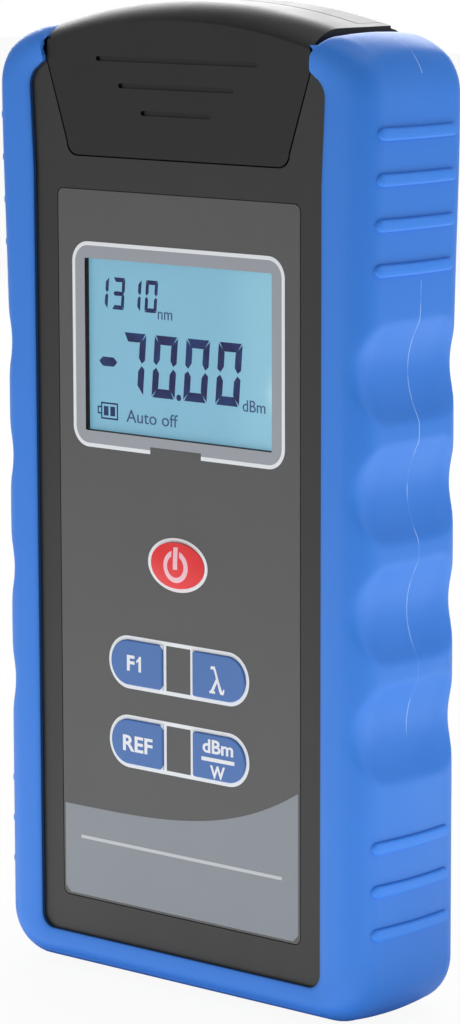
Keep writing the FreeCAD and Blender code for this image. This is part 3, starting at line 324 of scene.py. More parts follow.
def lettering(name, words, finish, body, x, z, y, bold=0.0):
    """Words as a thin film that fills a width and a height."""
    curve = bpy.data.curves.new(name, "FONT")
    curve.body = words
    curve.offset = bold
    curve.resolution_u = 4
    text = bpy.data.objects.new(name, curve)
    bpy.context.scene.collection.objects.link(text)
    bpy.context.view_layer.update()
    mesh = bmesh.new()
    mesh.from_mesh(text.to_mesh())
    text.to_mesh_clear()
    bpy.data.objects.remove(text)
    low = [min(vert.co[axis] for vert in mesh.verts) for axis in (0, 1)]
    high = [max(vert.co[axis] for vert in mesh.verts) for axis in (0, 1)]
    for vert in mesh.verts:
        across = (vert.co.x - low[0]) / (high[0] - low[0])
        up = (vert.co.y - low[1]) / (high[1] - low[1])
        vert.co = (x[0] + (x[1] - x[0]) * across, y, z[0] + (z[1] - z[0]) * up)
    film(mesh, name, finish, body)


# ---------------------------------------------------------------- settings

class MeterBoot(bpy.types.PropertyGroup):
    """Rubber boot."""
    colour: bpy.props.FloatVectorProperty(
        name="Rubber", description="Colour of the boot", subtype="COLOR", size=3, min=0, max=1,
        default=ink(52, 124, 218))
    scallop_depth: bpy.props.FloatProperty(
        name="Scallop depth", description="How deep a finger scallop is", default=2.9 * MM, min=0,
        max=4 * MM, unit="LENGTH")
    scallop_pitch: bpy.props.FloatProperty(
        name="Scallop pitch", description="From scallop to scallop", default=22.5 * MM, min=20 * MM,
        max=26 * MM, unit="LENGTH")
    scallop_reach: bpy.props.FloatProperty(
        name="Scallop reach", description="From a scallop's middle to its upper edge", default=9.3 * MM,
        min=7 * MM, max=11 * MM, unit="LENGTH")
    edge: bpy.props.FloatProperty(
        name="Edge", description="Rounding of the front and back edges", default=6.0 * MM, min=3 * MM,
        max=7 * MM, unit="LENGTH")


class MeterFace(bpy.types.PropertyGroup):
    """Case, panel and keys."""
    case: bpy.props.FloatVectorProperty(
        name="Case", description="Colour of the moulded case", subtype="COLOR", size=3, min=0, max=1,
        default=ink(34, 34, 34))
    cap: bpy.props.FloatVectorProperty(
        name="Cap", description="Colour of the dust cap", subtype="COLOR", size=3, min=0, max=1,
        default=ink(18, 18, 18))
    panel: bpy.props.FloatVectorProperty(
        name="Panel", description="Dark field of the printed panel", subtype="COLOR", size=3, min=0, max=1,
        default=ink(74, 74, 74))
    label: bpy.props.FloatVectorProperty(
        name="Label", description="Light field at the foot of the panel", subtype="COLOR", size=3, min=0,
        max=1, default=ink(126, 132, 139))
    line: bpy.props.FloatVectorProperty(
        name="Lines", description="Light lines of the print", subtype="COLOR", size=3, min=0, max=1,
        default=ink(226, 229, 233))
    key: bpy.props.FloatVectorProperty(
        name="Keys", description="Colour of the four keys", subtype="COLOR", size=3, min=0, max=1,
        default=ink(58, 104, 170))
    power: bpy.props.FloatVectorProperty(
        name="Power key", description="Colour of the power key", subtype="COLOR", size=3, min=0, max=1,
        default=ink(216, 26, 32))


class MeterDisplay(bpy.types.PropertyGroup):
    """Display."""
    reading: bpy.props.StringProperty(
        name="Reading", description="Large figures, with a minus or a point where wanted", default="-70.00")
    wavelength: bpy.props.StringProperty(
        name="Wavelength", description="Small figures", default="1310")
    light: bpy.props.FloatVectorProperty(
        name="Backlight", description="Colour of the lit display", subtype="COLOR", size=3, min=0, max=1,
        default=ink(127, 190, 217))
    strength: bpy.props.FloatProperty(
        name="Brightness", description="How much of the display's colour is its own light", default=0.49,
        min=0, max=1, subtype="FACTOR")


class MeterStage(bpy.types.PropertyGroup):
    """Floor, lights and camera."""
    floor: bpy.props.FloatVectorProperty(
        name="Floor", description="Colour of the floor", subtype="COLOR", size=3, min=0, max=1,
        default=(0.88, 0.88, 0.88))
    camera: bpy.props.FloatVectorProperty(
        name="Camera", description="Where the camera stands", subtype="XYZ", unit="LENGTH", size=3,
        default=(0.5159, -0.5833, 0.2182))
    lens: bpy.props.FloatProperty(
        name="Lens", description="Focal length in millimetres over a 24 mm high sensor", default=95.6,
        min=50, max=150, unit="CAMERA")


# ---------------------------------------------------------------- rubber boot

# Millimetres: half widths from the middle, heights from the foot, depths from the middle.
CASE_SIDE = 42.5
BOOT_SIDE = BOOT_HIGH.x - 0.5
BOOT_HALF = -BOOT_LOW.y
CROWN = 75.0
FLARE, FLARE_FROM, FLARE_TO = 1.1, 126.0, 173.0
LIP_SIDE = 36.2
LIP_FOOT = 7.2
LIP_BEND, LIP_TOP = 158.5, 174.4
LIP_SLOPE = ((0.3, 0.01), (1.2, 0.1), (2.3, 0.25), (2.6, 0.4))
FULL_SLOPE_WIDTH = 9.0
HOOK_TIP = 34.0
SCALLOPS = 4
SCALLOP_MIDDLE = BOOT_HIGH.z / 2 - 2.65
SCALLOP_FLAT, SCALLOP_END, SCALLOP_SOFT = 7.5, 7.6, 0.012
RIB_PITCH = 8.3
RIBS_ABOVE, RIBS_BELOW = 4, 3
RIB_FRONT, RIB_BACK, RIB_WIDTH, RIB_PROUD, RIB_ROOT = -12.0, 9.9, 2.4, 0.8, 1.0
MOULD_LINE, MOULD_LINE_HALF = 0.45, 0.09
MOULD_LINE_LOW, MOULD_LINE_HIGH, MOULD_LINE_TOP = 55.0, 141.0, 178.8


def arc(centre, radius, start, end, steps):
    """Points along an arc in X and Z, without its first one."""
    points = []
    for step in range(1, steps + 1):
        angle = math.radians(start + (end - start) * step / steps)
        points.append((centre[0] + radius * math.cos(angle), centre[1] + radius * math.sin(angle)))
    return points


def run(start, end, steps):
    """Points along a straight, without its first one."""
    return [(start[0] + (end[0] - start[0]) * step / steps, start[1] + (end[1] - start[1]) * step / steps)
            for step in range(1, steps + 1)]


def boot_stations():
    """Outer edge, lip edge and case wall, side by side from the middle of the foot to the tip of a hook."""
    top = BOOT_HIGH.z
    along_foot, low_corner, up_side, top_corner, tip = 12, 14, 220, 18, 5
    bend, shoulder = 22, 12
    low_round, top_round, tip_round = 10.0, 11.5, 2.7
    outer = [(0.0, 0.0)]
    outer += run(outer[-1], (BOOT_SIDE - low_round, 0.0), along_foot)
    outer += arc((BOOT_SIDE - low_round, low_round), low_round, -90, 0, low_corner)
    outer += run((BOOT_SIDE, low_round), (BOOT_SIDE, top - top_round), up_side)
    outer += arc((BOOT_SIDE - top_round, top - top_round), top_round, 0, 88, top_corner)
    outer += arc((HOOK_TIP + 2.6, top - tip_round), tip_round, 95, 160, tip)
    lip_round, lip_leans = 3.0, 0.3
    lip = [(0.0, LIP_FOOT)]
    lip += run(lip[-1], (LIP_SIDE - lip_round, LIP_FOOT), along_foot)
    lip += arc((LIP_SIDE - lip_round, LIP_FOOT + lip_round), lip_round, -90, 0, low_corner)
    lip += run((LIP_SIDE, LIP_FOOT + lip_round), (LIP_SIDE + lip_leans, LIP_BEND), up_side - bend)
    lip += run((LIP_SIDE + lip_leans, LIP_BEND), (LIP_SIDE + 1.1, LIP_TOP), bend)
    lip += arc((LIP_SIDE - 3.2, LIP_TOP), 4.3, 0, 62, shoulder)
    lip += arc((HOOK_TIP + 1.0, 179.9), 1.35, 250, 145, top_corner + tip - shoulder)
    wall, wall_foot, wall_top = CASE_SIDE + 0.1, 2.2, top - 2.0
    low_round, top_round = 8.0, 9.5
    inner = [(0.0, wall_foot)]
    inner += run(inner[-1], (wall - low_round, wall_foot), along_foot)
    inner += arc((wall - low_round, wall_foot + low_round), low_round, -90, 0, low_corner)
    inner += run((wall, wall_foot + low_round), (wall, wall_top - top_round), up_side)
    inner += arc((wall - top_round, wall_top - top_round), top_round, 0, 90, top_corner)
    inner += run((wall - top_round, wall_top), (HOOK_TIP + 0.7, top - 3.6), tip)
    return list(zip(outer, lip, inner))


def sag(y, edge):
    """How far the outer side falls away from its crown at a depth."""
    flat = BOOT_HALF - edge
    past = max(0.0, abs(y) - flat)
    crowned = CROWN - math.sqrt(CROWN ** 2 - min(abs(y), flat) ** 2)
    return crowned + edge - math.sqrt(max(0.0, edge ** 2 - past ** 2))


def boot_profile(edge):
    """Front half of the section outside the case: distance in from the outer edge, and depth."""
    flat = BOOT_HALF - edge
    depths = [flat * step / 8 for step in range(9)]
    depths += [flat + edge * math.sin(math.radians(90 * step / 12)) for step in range(1, 13)]
    return [(sag(depth, edge), -depth) for depth in depths]


def flare(z):
    """How far the sides spread towards the top."""
    share = min(1.0, max(0.0, (z - FLARE_FROM) / (FLARE_TO - FLARE_FROM)))
    return FLARE * share * share * (3 - 2 * share)


def scallop(y, z, settings):
    """How far the side gives way at a depth and height: round-ended troughs with soft edges."""
    pitch = settings.scallop_pitch / MM
    along = max(0.0, abs(y) - SCALLOP_FLAT) / SCALLOP_END
    depth = 0.0
    for index in range(SCALLOPS):
        across = (z - SCALLOP_MIDDLE - (index - (SCALLOPS - 1) / 2) * pitch) / settings.scallop_reach * MM
        left = 1 - across ** 2 - along ** 2
        if left > -1:
            depth += (left + math.sqrt(left ** 2 + SCALLOP_SOFT)) / 2
    return depth * settings.scallop_depth / MM


def boot_section(outer, lip, inner, profile):
    """The closed section at one station, as places in X and Z with their depth."""
    out, edge_line = Vector(outer), Vector(lip)
    face, reach = -FACE + 0.08, profile[-1][0]
    inwards = edge_line - out
    width = inwards.length
    inwards.normalize()
    narrow = min(1.0, width / FULL_SLOPE_WIDTH)
    slope = [(offset * narrow, fall * narrow) for offset, fall in LIP_SLOPE]
    squeeze = min(1.0, (width - slope[-1][0]) / (reach + 0.2))
    rounded = reach * squeeze
    flat = max(width - slope[-1][0], rounded)
    front = [(out + inwards * offset * squeeze, depth) for offset, depth in profile]
    for share in (0.33, 0.66, 1.0):
        front.append((out + inwards * (rounded + (flat - rounded) * share), -BOOT_HALF))
    front += [(out + inwards * (flat + offset), -BOOT_HALF + fall) for offset, fall in slope]
    front += [(edge_line, -face), (Vector(inner), -face)]
    return front + [(point, -depth) for point, depth in reversed(front[1:])]


def make_boot(settings, finish):
    """One rubber skin: a section carried round the case, with finger scallops pressed into its sides."""
    edge = settings.edge / MM
    profile = boot_profile(edge)
    stations = boot_stations()
    stations = [tuple((-x, z) for x, z in one) for one in reversed(stations[1:])] + stations
    rows = [boot_section(*one, profile) for one in stations]
    count = len(rows[0])
    mesh = bmesh.new()
    grid = bmesh.ops.create_grid(mesh, x_segments=count, y_segments=len(rows) - 1, size=0.5)["verts"]
    grid.sort(key=lambda vert: (round(vert.co.y, 6), round(vert.co.x, 6)))
    blend_from, blend = CASE_SIDE - 3, 4
    for index, vert in enumerate(grid):
        row, column = divmod(index, count + 1)
        point, y = rows[row][column % count]
        x, z = point
        if abs(x) > blend_from and 20 < z < 160 and abs(y) < BOOT_HALF:
            weight = min(1.0, (abs(x) - LIP_SIDE - 1) / blend)
            x -= math.copysign(scallop(y, z, settings) * weight, x)
        if abs(x) > blend_from:
            x += math.copysign(flare(z) * min(1.0, (abs(x) - blend_from) / blend), x)
        vert.co = (x, y, z)
    bmesh.ops.remove_doubles(mesh, verts=mesh.verts, dist=1e-4)
    bmesh.ops.holes_fill(mesh, edges=[side for side in mesh.edges if side.is_boundary])
    for sign in (-1, 1):
        for height in rib_heights():
            rib(mesh, sign, height, edge)
    thing = piece(mesh, "boot_skin", finish, "housing", sharp=50)
    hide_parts("rubber_boot")


def rib_heights():
    """Middle of each grip rib."""
    highest, lowest = BOOT_HIGH.z - 17.8, 18.8
    above = [highest - RIB_PITCH * index for index in range(RIBS_ABOVE)]
    return above + [lowest + RIB_PITCH * index for index in range(RIBS_BELOW)]


def rib(mesh, sign, height, edge):
    """A grip rib: a round-ended bar bent over the crowned side."""
    radius, chamfer, slice_width = RIB_WIDTH / 2, 0.5, 1.2
    before = set(mesh.verts)
    turn = Matrix.Rotation(math.radians(90 * sign), 4, "Y")
    verts = bmesh.ops.create_circle(mesh, cap_ends=True, segments=24, radius=radius, matrix=turn)["verts"]
    face = verts[0].link_faces[0]
    for vert in verts:
        vert.co.y += (RIB_BACK - radius) if vert.co.y > 0 else (RIB_FRONT + radius)
    top = bmesh.ops.extrude_face_region(mesh, geom=[face])["geom"]
    raised = [item for item in top if isinstance(item, bmesh.types.BMVert)]
    bmesh.ops.translate(mesh, vec=(sign * (RIB_PROUD + RIB_ROOT), 0, 0), verts=raised)
    cap = [item for item in top if isinstance(item, bmesh.types.BMFace)]
    rim = list({edge for one in cap for edge in one.edges})
    bmesh.ops.bevel(mesh, geom=rim, offset=chamfer, segments=3, affect="EDGES", profile=0.5, material=-1)
    for step in range(-9, 9):
        verts = [vert for vert in mesh.verts if vert not in before]
        faces = {one for vert in verts for one in vert.link_faces}
        edges = {edge for one in faces for edge in one.edges}
        bmesh.ops.bisect_plane(mesh, geom=[*verts, *edges, *faces], plane_co=(0, step * slice_width, 0),
                               plane_no=(0, 1, 0))
    for vert in [vert for vert in mesh.verts if vert not in before]:
        vert.co.x += sign * (BOOT_SIDE + flare(height) - sag(vert.co.y, edge) - RIB_ROOT)
        vert.co.z += height


def boot_finish(settings):
    """Blue rubber with a broken mould line, a painted highlight that lightens the rib tops, and painted
    shade that darkens the walls beside the panel.
    """
    colour, edge = settings.colour, settings.edge / MM
    finish = Finish("boot_blue", colour, 0.42, Specular_IOR_Level=0.3)
    tone = finish.mix(0.3 * finish.noise(14.0), colour, shade(colour, 0.86))
    y = finish.axis(1)
    z = finish.axis(2)
    x = abs(finish.axis(0))
    seam = (z > MOULD_LINE_LOW) * (z < MOULD_LINE_HIGH) + (z > MOULD_LINE_TOP) * (x > 41.0)
    flash = (abs(y - MOULD_LINE) < MOULD_LINE_HALF) * seam
    broken = finish.ramp(finish.noise(7.0), 0.42, 0.58)
    tone = finish.mix(flash * (0.15 + 0.6 * broken), tone, ink(176, 205, 246))
    # Painted highlight: where the surface stands proud of the crowned side, on the grip ribs, the blue is
    # lightened to stand in for the light that the rib tops catch.
    past = abs(y).maths("MAXIMUM", abs(y) - (BOOT_HALF - edge), 0.0)
    inner = abs(y) - past
    left = past.maths("MAXIMUM", edge ** 2 - past * past, 0.0)
    spread = finish.ramp(z, FLARE_FROM, FLARE_TO) * FLARE
    proud = x - BOOT_SIDE - spread + inner * inner / (2 * CROWN) + edge - left ** 0.5
    tone = finish.mix(finish.ramp(proud, 0.3, 0.6) * 0.8, tone, shade(colour, 1.15))
    # Painted shade: the boot's inner walls beside the panel are darkened nearly to black, standing in for
    # the shade that falls in that recess.
    wall = finish.ramp(abs(y), BOOT_HALF - 0.12, BOOT_HALF - 0.6) * (abs(y) > -FACE - 0.1)
    wall = wall * (x < CASE_SIDE - 3.5) * (z < 179.0) * (z > LIP_FOOT - 0.5)
    finish.set("Base Color", finish.mix(wall * 0.8, tone, shade(colour, 0.12)))
    finish.set("Roughness", 0.38 + 0.1 * finish.noise(6.0))
    finish.bump(finish.noise(0.5, 3.0) + flash * 0.8, 0.018)
    return finish


# ---------------------------------------------------------------- panel prints

def make_label(face):
    """Light field at the foot of the panel, whose upper edge sweeps up to the right, and its line."""
    low, high = PANEL_LOW, PANEL_HIGH
    edge, corner = 0.45, 1.3
    rise_from, rise, bend = 33.2, 11.1, 3.53
    mesh = bmesh.new()
    turn = Matrix.Rotation(math.radians(90), 4, "X")
    verts = bmesh.ops.create_grid(mesh, x_segments=48, y_segments=1, size=0.5, matrix=turn)["verts"]
    bmesh.ops.scale(mesh, vec=(high.x - low.x - 2 * edge, 1, 1), verts=verts)
    for vert in verts:
        share = (vert.co.x - low.x) / (high.x - low.x)
        curved = rise_from + rise * share ** bend
        past = max(0.0, abs(vert.co.x) - (high.x - edge - corner)) / corner
        foot = low.z + edge + corner * (1 - math.sqrt(max(0.0, 1 - past ** 2)))
        vert.co = (vert.co.x, low.y - FILM / 2, curved if vert.co.z > 0 else foot)
    film(mesh, "label_field", moulded("label_grey", face.label, 0.42, 0.3, 0.05), "housing")
    mesh = bmesh.new()
    plate(mesh, (-26.0, 26.2), (26.65, 27.3), 0, low.y - FILM)
    film(mesh, "label_line", print_ink("label_line_white", ink(188, 191, 195)), "housing")


def print_ink(name, colour):
    """Screen-printed ink: flat colour with a hint of unevenness."""
    finish = Finish(name, colour, 0.45)
    finish.set("Base Color", finish.mix(0.25 * finish.noise(0.8), colour, shade(colour, 0.8)))
    finish.bump(finish.noise(0.25), 0.004)
    return finish


DIGIT_ONE = [
    (0.45, 0.0), (1.0, 0.0), (1.0, 1.0), (0.6, 1.0), (0.42, 0.86), (0.0, 0.72), (0.0, 0.56), (0.45, 0.68)]
LAMBDA = [
    (0.08, 0.84), (0.1, 0.95), (0.36, 0.97), (0.46, 0.8), (0.63, 0.46), (0.84, 0.13), (0.9, 0.13),
    (0.92, 0.2), (1.0, 0.2), (1.0, 0.1), (0.93, 0.0), (0.76, 0.0), (0.67, 0.08), (0.52, 0.4), (0.29, 0.1),
    (0.38, 0.08), (0.38, 0.0), (0.0, 0.0), (0.0, 0.08), (0.1, 0.1), (0.45, 0.54), (0.31, 0.82), (0.24, 0.86)]


def key_print(z, y, finish, name):
    """White capsule around a pair of keys, with a bar beside each."""
    half, tall, line_width, bar = 18.1, 5.22, 0.78, 0.72
    mesh = bmesh.new()
    plate(mesh, (-half, half), (z - tall, z + tall), tall, y, segments=16)
    ring(mesh, line_width)
    for x in (-3.45, 3.5):
        ends = (z - tall + line_width / 2, z + tall - line_width / 2)
        plate(mesh, (x - bar / 2, x + bar / 2), ends, 0, y + 0.004)
    film(mesh, name, finish, "housing")


# ---------------------------------------------------------------- display

SEGMENTS = {
    "0": "abcdef", "1": "bc", "2": "abged", "3": "abgcd", "4": "fgbc",
    "5": "afgcd", "6": "afgedc", "7": "abc", "8": "abcdefg", "9": "abcdfg"}
MINUS = [(0.0, 0.5), (0.2, 1.0), (0.8, 1.0), (1.0, 0.5), (0.8, 0.0), (0.2, 0.0)]
TERMINAL = [
    (1.0, 0.0), (0.0, 0.0), (0.0, 1.0), (1.0, 1.0), (1.0, 0.8), (0.3333, 0.8), (0.3333, 0.2), (1.0, 0.2)]


def figure(mesh, sign, x, z, width, height, thick, y, slant=0.085):
    """One seven-segment figure; x and z are its lower left corner."""
    apart, cut, middle = 0.13 * thick, 0.62 * thick, height / 2
    shapes = {
        "a": [(apart, height), (width - apart, height), (width - apart - cut, height - thick),
              (apart + cut, height - thick)],
        "d": [(apart + cut, thick), (width - apart - cut, thick), (width - apart, 0), (apart, 0)],
        "g": [(apart * 2, middle), (thick * 0.6, middle + thick / 2),
              (width - thick * 0.6, middle + thick / 2),
              (width - apart * 2, middle), (width - thick * 0.6, middle - thick / 2),
              (thick * 0.6, middle - thick / 2)],
    }
    upright = thick * 0.92
    side = [(0, height - apart), (upright, height - thick - apart), (upright, middle + thick * 0.75),
            (upright * 0.5, middle + apart), (0, middle + thick * 0.5)]
    shapes["f"] = side
    shapes["b"] = [(width - px, pz) for px, pz in side]
    shapes["e"] = [(px, height - pz) for px, pz in side]
    shapes["c"] = [(width - px, height - pz) for px, pz in side]
    for name in SEGMENTS[sign]:
        stroke(mesh, [(x + px + slant * pz, z + pz) for px, pz in shapes[name]], y)


def make_figures(display, finish):
    """The figures and battery sign of the display."""
    y = GLASS_FRONT - 0.02
    mesh = bmesh.new()
    big = {"width": 5.95, "height": 12.0, "thick": 1.75}
    x, z, pitch = 8.75, 115.85, 8.15
    for sign in reversed(display.reading):
        if sign == ".":
            oval(mesh, (x + pitch - 1.1, z + 0.45), (0.62, 0.62), y, 20)
        elif sign == "-":
            glyph(mesh, MINUS, (-21.15, -16.4), (120.9, 122.7), y)
        else:
            figure(mesh, sign, x, z, y=y, **big)
            x -= pitch
    small = {"width": 3.1, "height": 6.2, "thick": 0.85}
    x, z, pitch = -9.25, 132.05, 4.25
    for sign in reversed(display.wavelength):
        figure(mesh, sign, x, z, y=y, **small)
        x -= pitch
    film(mesh, "display_figures", finish, "housing", SIGN_FILM)
    mesh = bmesh.new()
    plate(mesh, (-20.8, -16.3), (110.55, 113.85), 0, y)
    ring(mesh, 0.32)
    glyph(mesh, TERMINAL, (-21.7, -20.8), (111.5, 113.0), y)
    for sides in ((-20.05, -18.85), (-18.35, -17.1)):
        plate(mesh, sides, (111.25, 113.1), 0, y)
    film(mesh, "display_battery_sign", finish, "housing", SIGN_FILM)


def display_glow(display):
    """Lit blue glass, brighter towards its right edge and brightest in one spot there."""
    glow = Finish("display_blue", display.light, 0.35)
    x, z = glow.axis(0), glow.axis(2)
    right = glow.ramp(x, 8.0, 24.5)
    tone = glow.mix(right * 0.75, display.light, ink(150, 210, 231))
    spot = glow.ramp(1 - (abs(x - 25.5) / 5.5 + abs(z - 119) / 15.0), 0.0, 1.0)
    tone = glow.mix(spot, tone, ink(214, 250, 255))
    tone = glow.mix(glow.ramp(z, 141.0, 118.0) * 0.10, tone, ink(128, 186, 222))
    glow.set("Base Color", glow.mix(0.6, tone, (0.0, 0.0, 0.0)))
    glow.set("Emission Color", tone)
    glow.set("Emission Strength", display.strength)
    return glow


def make_window_frame(face):
    """Grey border printed round the opening, and the white line round that, with a notch at its foot."""
    low, high = WINDOW_LOW, WINDOW_HIGH
    y = low.y - FILM / 2
    line_y = y - 0.02
    corner, rim, border = 4.0, 0.4, 2.5
    opening_half, opening_low, opening_high = 23.85, 108.2, 141.7
    notch_left, notch_right, notch_top = -6.9, 6.1, 106.35
    mesh = bmesh.new()
    plate(mesh, (low.x, high.x), (low.z, high.z), corner, y)
    for thickness in (rim, border):
        inner = largest(mesh)
        bmesh.ops.inset_individual(mesh, faces=[inner], thickness=thickness, use_even_offset=True)
    inner = largest(mesh)
    for vert in inner.verts:
        vert.co.x = math.copysign(min(abs(vert.co.x), opening_half), vert.co.x)
        vert.co.z = min(max(vert.co.z, opening_low), opening_high)
    bmesh.ops.delete(mesh, geom=[inner], context="FACES")
    grey = moulded("frame_grey", ink(146, 150, 157), 0.5, 0.35)
    film(mesh, "window_border", grey, "housing")

    over = 0.05
    mesh = bmesh.new()
    x, z = (low.x - over, high.x + over), (low.z - over, high.z + over)
    plate(mesh, x, z, corner + over, line_y, segments=12)
    ring(mesh, 0.75)
    gap(mesh, notch_left, notch_right, lambda height: height < low.z + 2)
    film(mesh, "window_line", print_ink("frame_white", face.line), "housing")

    mesh = bmesh.new()
    plate(mesh, (notch_left, notch_right), (low.z - 0.06, notch_top), 0, line_y)
    film(mesh, "window_notch", moulded("notch_grey", face.panel, 0.5, 0.3), "housing")


def make_display(display, face):
    """Window, its printed frame, the lit glass and what it shows."""
    wear("display_glass", display_glow(display))
    clear = Finish("window_acrylic", (0.9, 0.93, 0.95), 0.06, Alpha=0.012, Specular_IOR_Level=0.05)
    clear.set("Roughness", 0.04 + 0.05 * clear.noise(12.0))
    wear("display_window", clear)
    make_window_frame(face)
    navy = Finish("figure_navy", ink(16, 26, 80), 0.4, Specular_IOR_Level=0.1)
    patches = navy.ramp(navy.noise(5.0), 0.35, 0.65)
    navy.set("Base Color", navy.mix(patches, ink(14, 20, 78), ink(18, 46, 104)))
    make_figures(display, navy)
    thin = Finish("sign_navy", ink(26, 62, 118), 0.4)
    thin.set("Base Color", thin.mix(thin.noise(3.0), ink(24, 58, 112), ink(32, 70, 128)))
    y = GLASS_FRONT - 0.055
    for name, words, x, z in (("display_unit_wavelength", "nm", (-5.77, -2.05), (130.95, 132.45)),
                              ("display_unit_power", "dBm", (15.7, 21.3), (115.15, 117.35)),
                              ("display_auto_off", "Auto off", (-14.1, -0.75), (110.5, 112.95))):
        lettering(name, words, thin, "housing", x, z, y)


# ---------------------------------------------------------------- keys

def make_keys(face):
    """Finish, outlines and legends of the keys."""
    white = print_ink("key_line_white", face.line)
    legend = print_ink("legend_white", ink(226, 228, 232))
    y = FACE - FILM / 2
    for name, node in (("upper_keys_line", "f1_key"), ("lower_keys_line", "reference_key")):
        key_print(face_height(node), y, white, name)
    for node in ("f1_key", "wavelength_key", "reference_key", "unit_key"):
        wear(node, key_finish(node, face))
    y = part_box("f1_key")[0].y / MM - 0.02
    upper, lower = face_height("f1_key"), face_height("reference_key")
    for name, words, x, z, bold, body in (
            ("legend_f", "F", (-13.0, -11.0), (upper - 1.6, upper + 1.5), 0.03, "f1_key_body"),
            ("legend_reference", "REF", (-14.2, -6.4), (lower - 1.85, lower + 1.3), 0.025,
             "reference_key_body"),
            ("legend_unit", "dBm", (6.6, 14.4), (lower + 0.75, lower + 3.45), 0.025, "unit_key_body"),
            ("legend_watt", "W", (8.5, 12.3), (lower - 4.1, lower - 1.55), 0.03, "unit_key_body")):
        lettering(name, words, legend, body, x, z, y, bold)
    for name, outline, x, z, body in (
            ("legend_one", DIGIT_ONE, (-10.5, -9.3), (upper - 1.6, upper + 1.5), "f1_key_body"),
            ("legend_wavelength", LAMBDA, (8.4, 12.2), (upper - 3.2, upper + 2.3), "wavelength_key_body")):
        mesh = bmesh.new()
        glyph(mesh, outline, x, z, y)
        film(mesh, name, legend, body)
    mesh = bmesh.new()
    plate(mesh, (6.3, 14.7), (lower - 0.85, lower - 0.1), 0, y)
    film(mesh, "legend_bar", legend, "unit_key_body")


def key_finish(node, face):
    """Blue print whose two inner corners are round, so that the white shows there."""
    finish = Finish(f"{node}_blue", face.key, 0.38)
    tone = finish.mix(0.3 * finish.noise(4.0), face.key, shade(face.key, 0.86))
    corner, inner, half = 0.9, 3.9, 4.45
    across = (inner + corner) - abs(finish.axis(0))
    up = abs(finish.axis(2) - face_height(node)) - (half - corner)
    outside = (across > 0.0) * (up > 0.0) * ((across * across + up * up) > corner ** 2)
    finish.set("Base Color", finish.mix(outside, tone, face.line))
    finish.set("Roughness", 0.34 + 0.1 * finish.noise(3.0))
    finish.bump(finish.noise(0.4), 0.006)
    return finish


def face_height(node):
    """Height of a node's middle, in millimetres."""
    low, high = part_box(node)
    return (low.z + high.z) / 2 / MM


def make_power_key(face):
    """Red oval key, its white ring and its sign."""
    finish = Finish("key_red", face.power, 0.32)
    finish.set("Base Color", finish.mix(finish.noise(5.0), face.power, shade(face.power, 1.12)))
    finish.set("Roughness", 0.28 + 0.1 * finish.noise(3.0))
    finish.bump(finish.noise(0.4), 0.006)
    wear("power_key", finish)
    middle = face_height("power_key")
    mesh = bmesh.new()
    oval(mesh, (0, middle), (7.66, 5.25), FACE - FILM / 2)
    ring(mesh, 0.74)
    film(mesh, "power_ring", print_ink("power_ring_white", face.line), "housing")
    make_power_sign(middle)


def make_power_sign(middle):
    """Open ring with a bar in its gap, laid on the key's dome."""
    radius, width, half_gap = 2.62, 1.0, 1.0
    bar_half, bar_low, bar_high = 0.55, -0.55, 3.75
    dome, sunk = 30.0, 0.03
    mesh = bmesh.new()
    turn = Matrix.Rotation(math.radians(90), 4, "X")
    band = bmesh.ops.create_circle(mesh, segments=64, radius=radius + width / 2, matrix=turn)["verts"]
    outline = list({edge for vert in band for edge in vert.link_edges})
    made = bmesh.ops.extrude_edge_only(mesh, edges=outline)["geom"]
    inner = [one for one in made if isinstance(one, bmesh.types.BMVert)]
    shrink = (radius - width / 2) / (radius + width / 2)
    bmesh.ops.scale(mesh, vec=(shrink, 1, shrink), verts=inner)
    gap(mesh, -half_gap, half_gap, lambda height: height > 0)
    plate(mesh, (-bar_half, bar_half), (bar_low, bar_high), 0, 0)
    bmesh.ops.subdivide_edges(mesh, edges=[edge for edge in mesh.edges if edge.calc_length() > 2], cuts=5,
                              use_grid_fill=True)
    thicken(mesh)
    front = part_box("power_key")[0].y / MM
    for vert in mesh.verts:
        across, up = vert.co.x, vert.co.z
        vert.co.y += front + dome - math.sqrt(dome ** 2 - across ** 2 - up ** 2) - sunk
    bmesh.ops.translate(mesh, vec=(0.12, 0, middle - 0.15), verts=mesh.verts)
    pink = print_ink("power_sign_pink", ink(236, 190, 200))
    piece(mesh, "power_sign", pink, "power_key_body")


# ---------------------------------------------------------------- operators

class METER_OT_boot(bpy.types.Operator):
    """Makes the rubber boot"""
    bl_idname = "meter.boot"
    bl_label = "Rubber boot"

    def execute(self, context):
        settings = context.scene.meter_boot
        make_boot(settings, boot_finish(settings))
        return {"FINISHED"}


class METER_OT_case(bpy.types.Operator):
    """Finishes the moulded case, the cap and the battery door"""
    bl_idname = "meter.case"
    bl_label = "Case and cap"

    def execute(self, context):
        face = context.scene.meter_face
        case = moulded("case_charcoal", face.case, 0.42, 0.35, 0.06, Specular_IOR_Level=0.4)
        for node in ("front_shell", "rear_shell", "port_tray", "battery_door"):
            wear(node, case)
        wear("dust_cap", moulded("cap_charcoal", face.cap, 0.4, 0.35, 0.05, Specular_IOR_Level=0.33))
        wear("case_screws", metal("steel_dark", (0.05, 0.05, 0.055), 0.42, (1, 8, 1)))
        wear("hinge_pins", metal("pin_steel", (0.55, 0.55, 0.57), 0.3, (8, 1, 1)))
        return {"FINISHED"}


class METER_OT_panel(bpy.types.Operator):
    """Finishes the printed panel and its light field"""
    bl_idname = "meter.panel"
    bl_label = "Printed panel"

    def execute(self, context):
        face = context.scene.meter_face
        wear("panel_overlay", moulded("panel_grey", face.panel, 0.48, 0.3, 0.08))
        make_label(face)
        return {"FINISHED"}


class METER_OT_display(bpy.types.Operator):
    """Makes the display's window frame, light and figures"""
    bl_idname = "meter.display"
    bl_label = "Display"

    def execute(self, context):
        make_display(context.scene.meter_display, context.scene.meter_face)
        return {"FINISHED"}


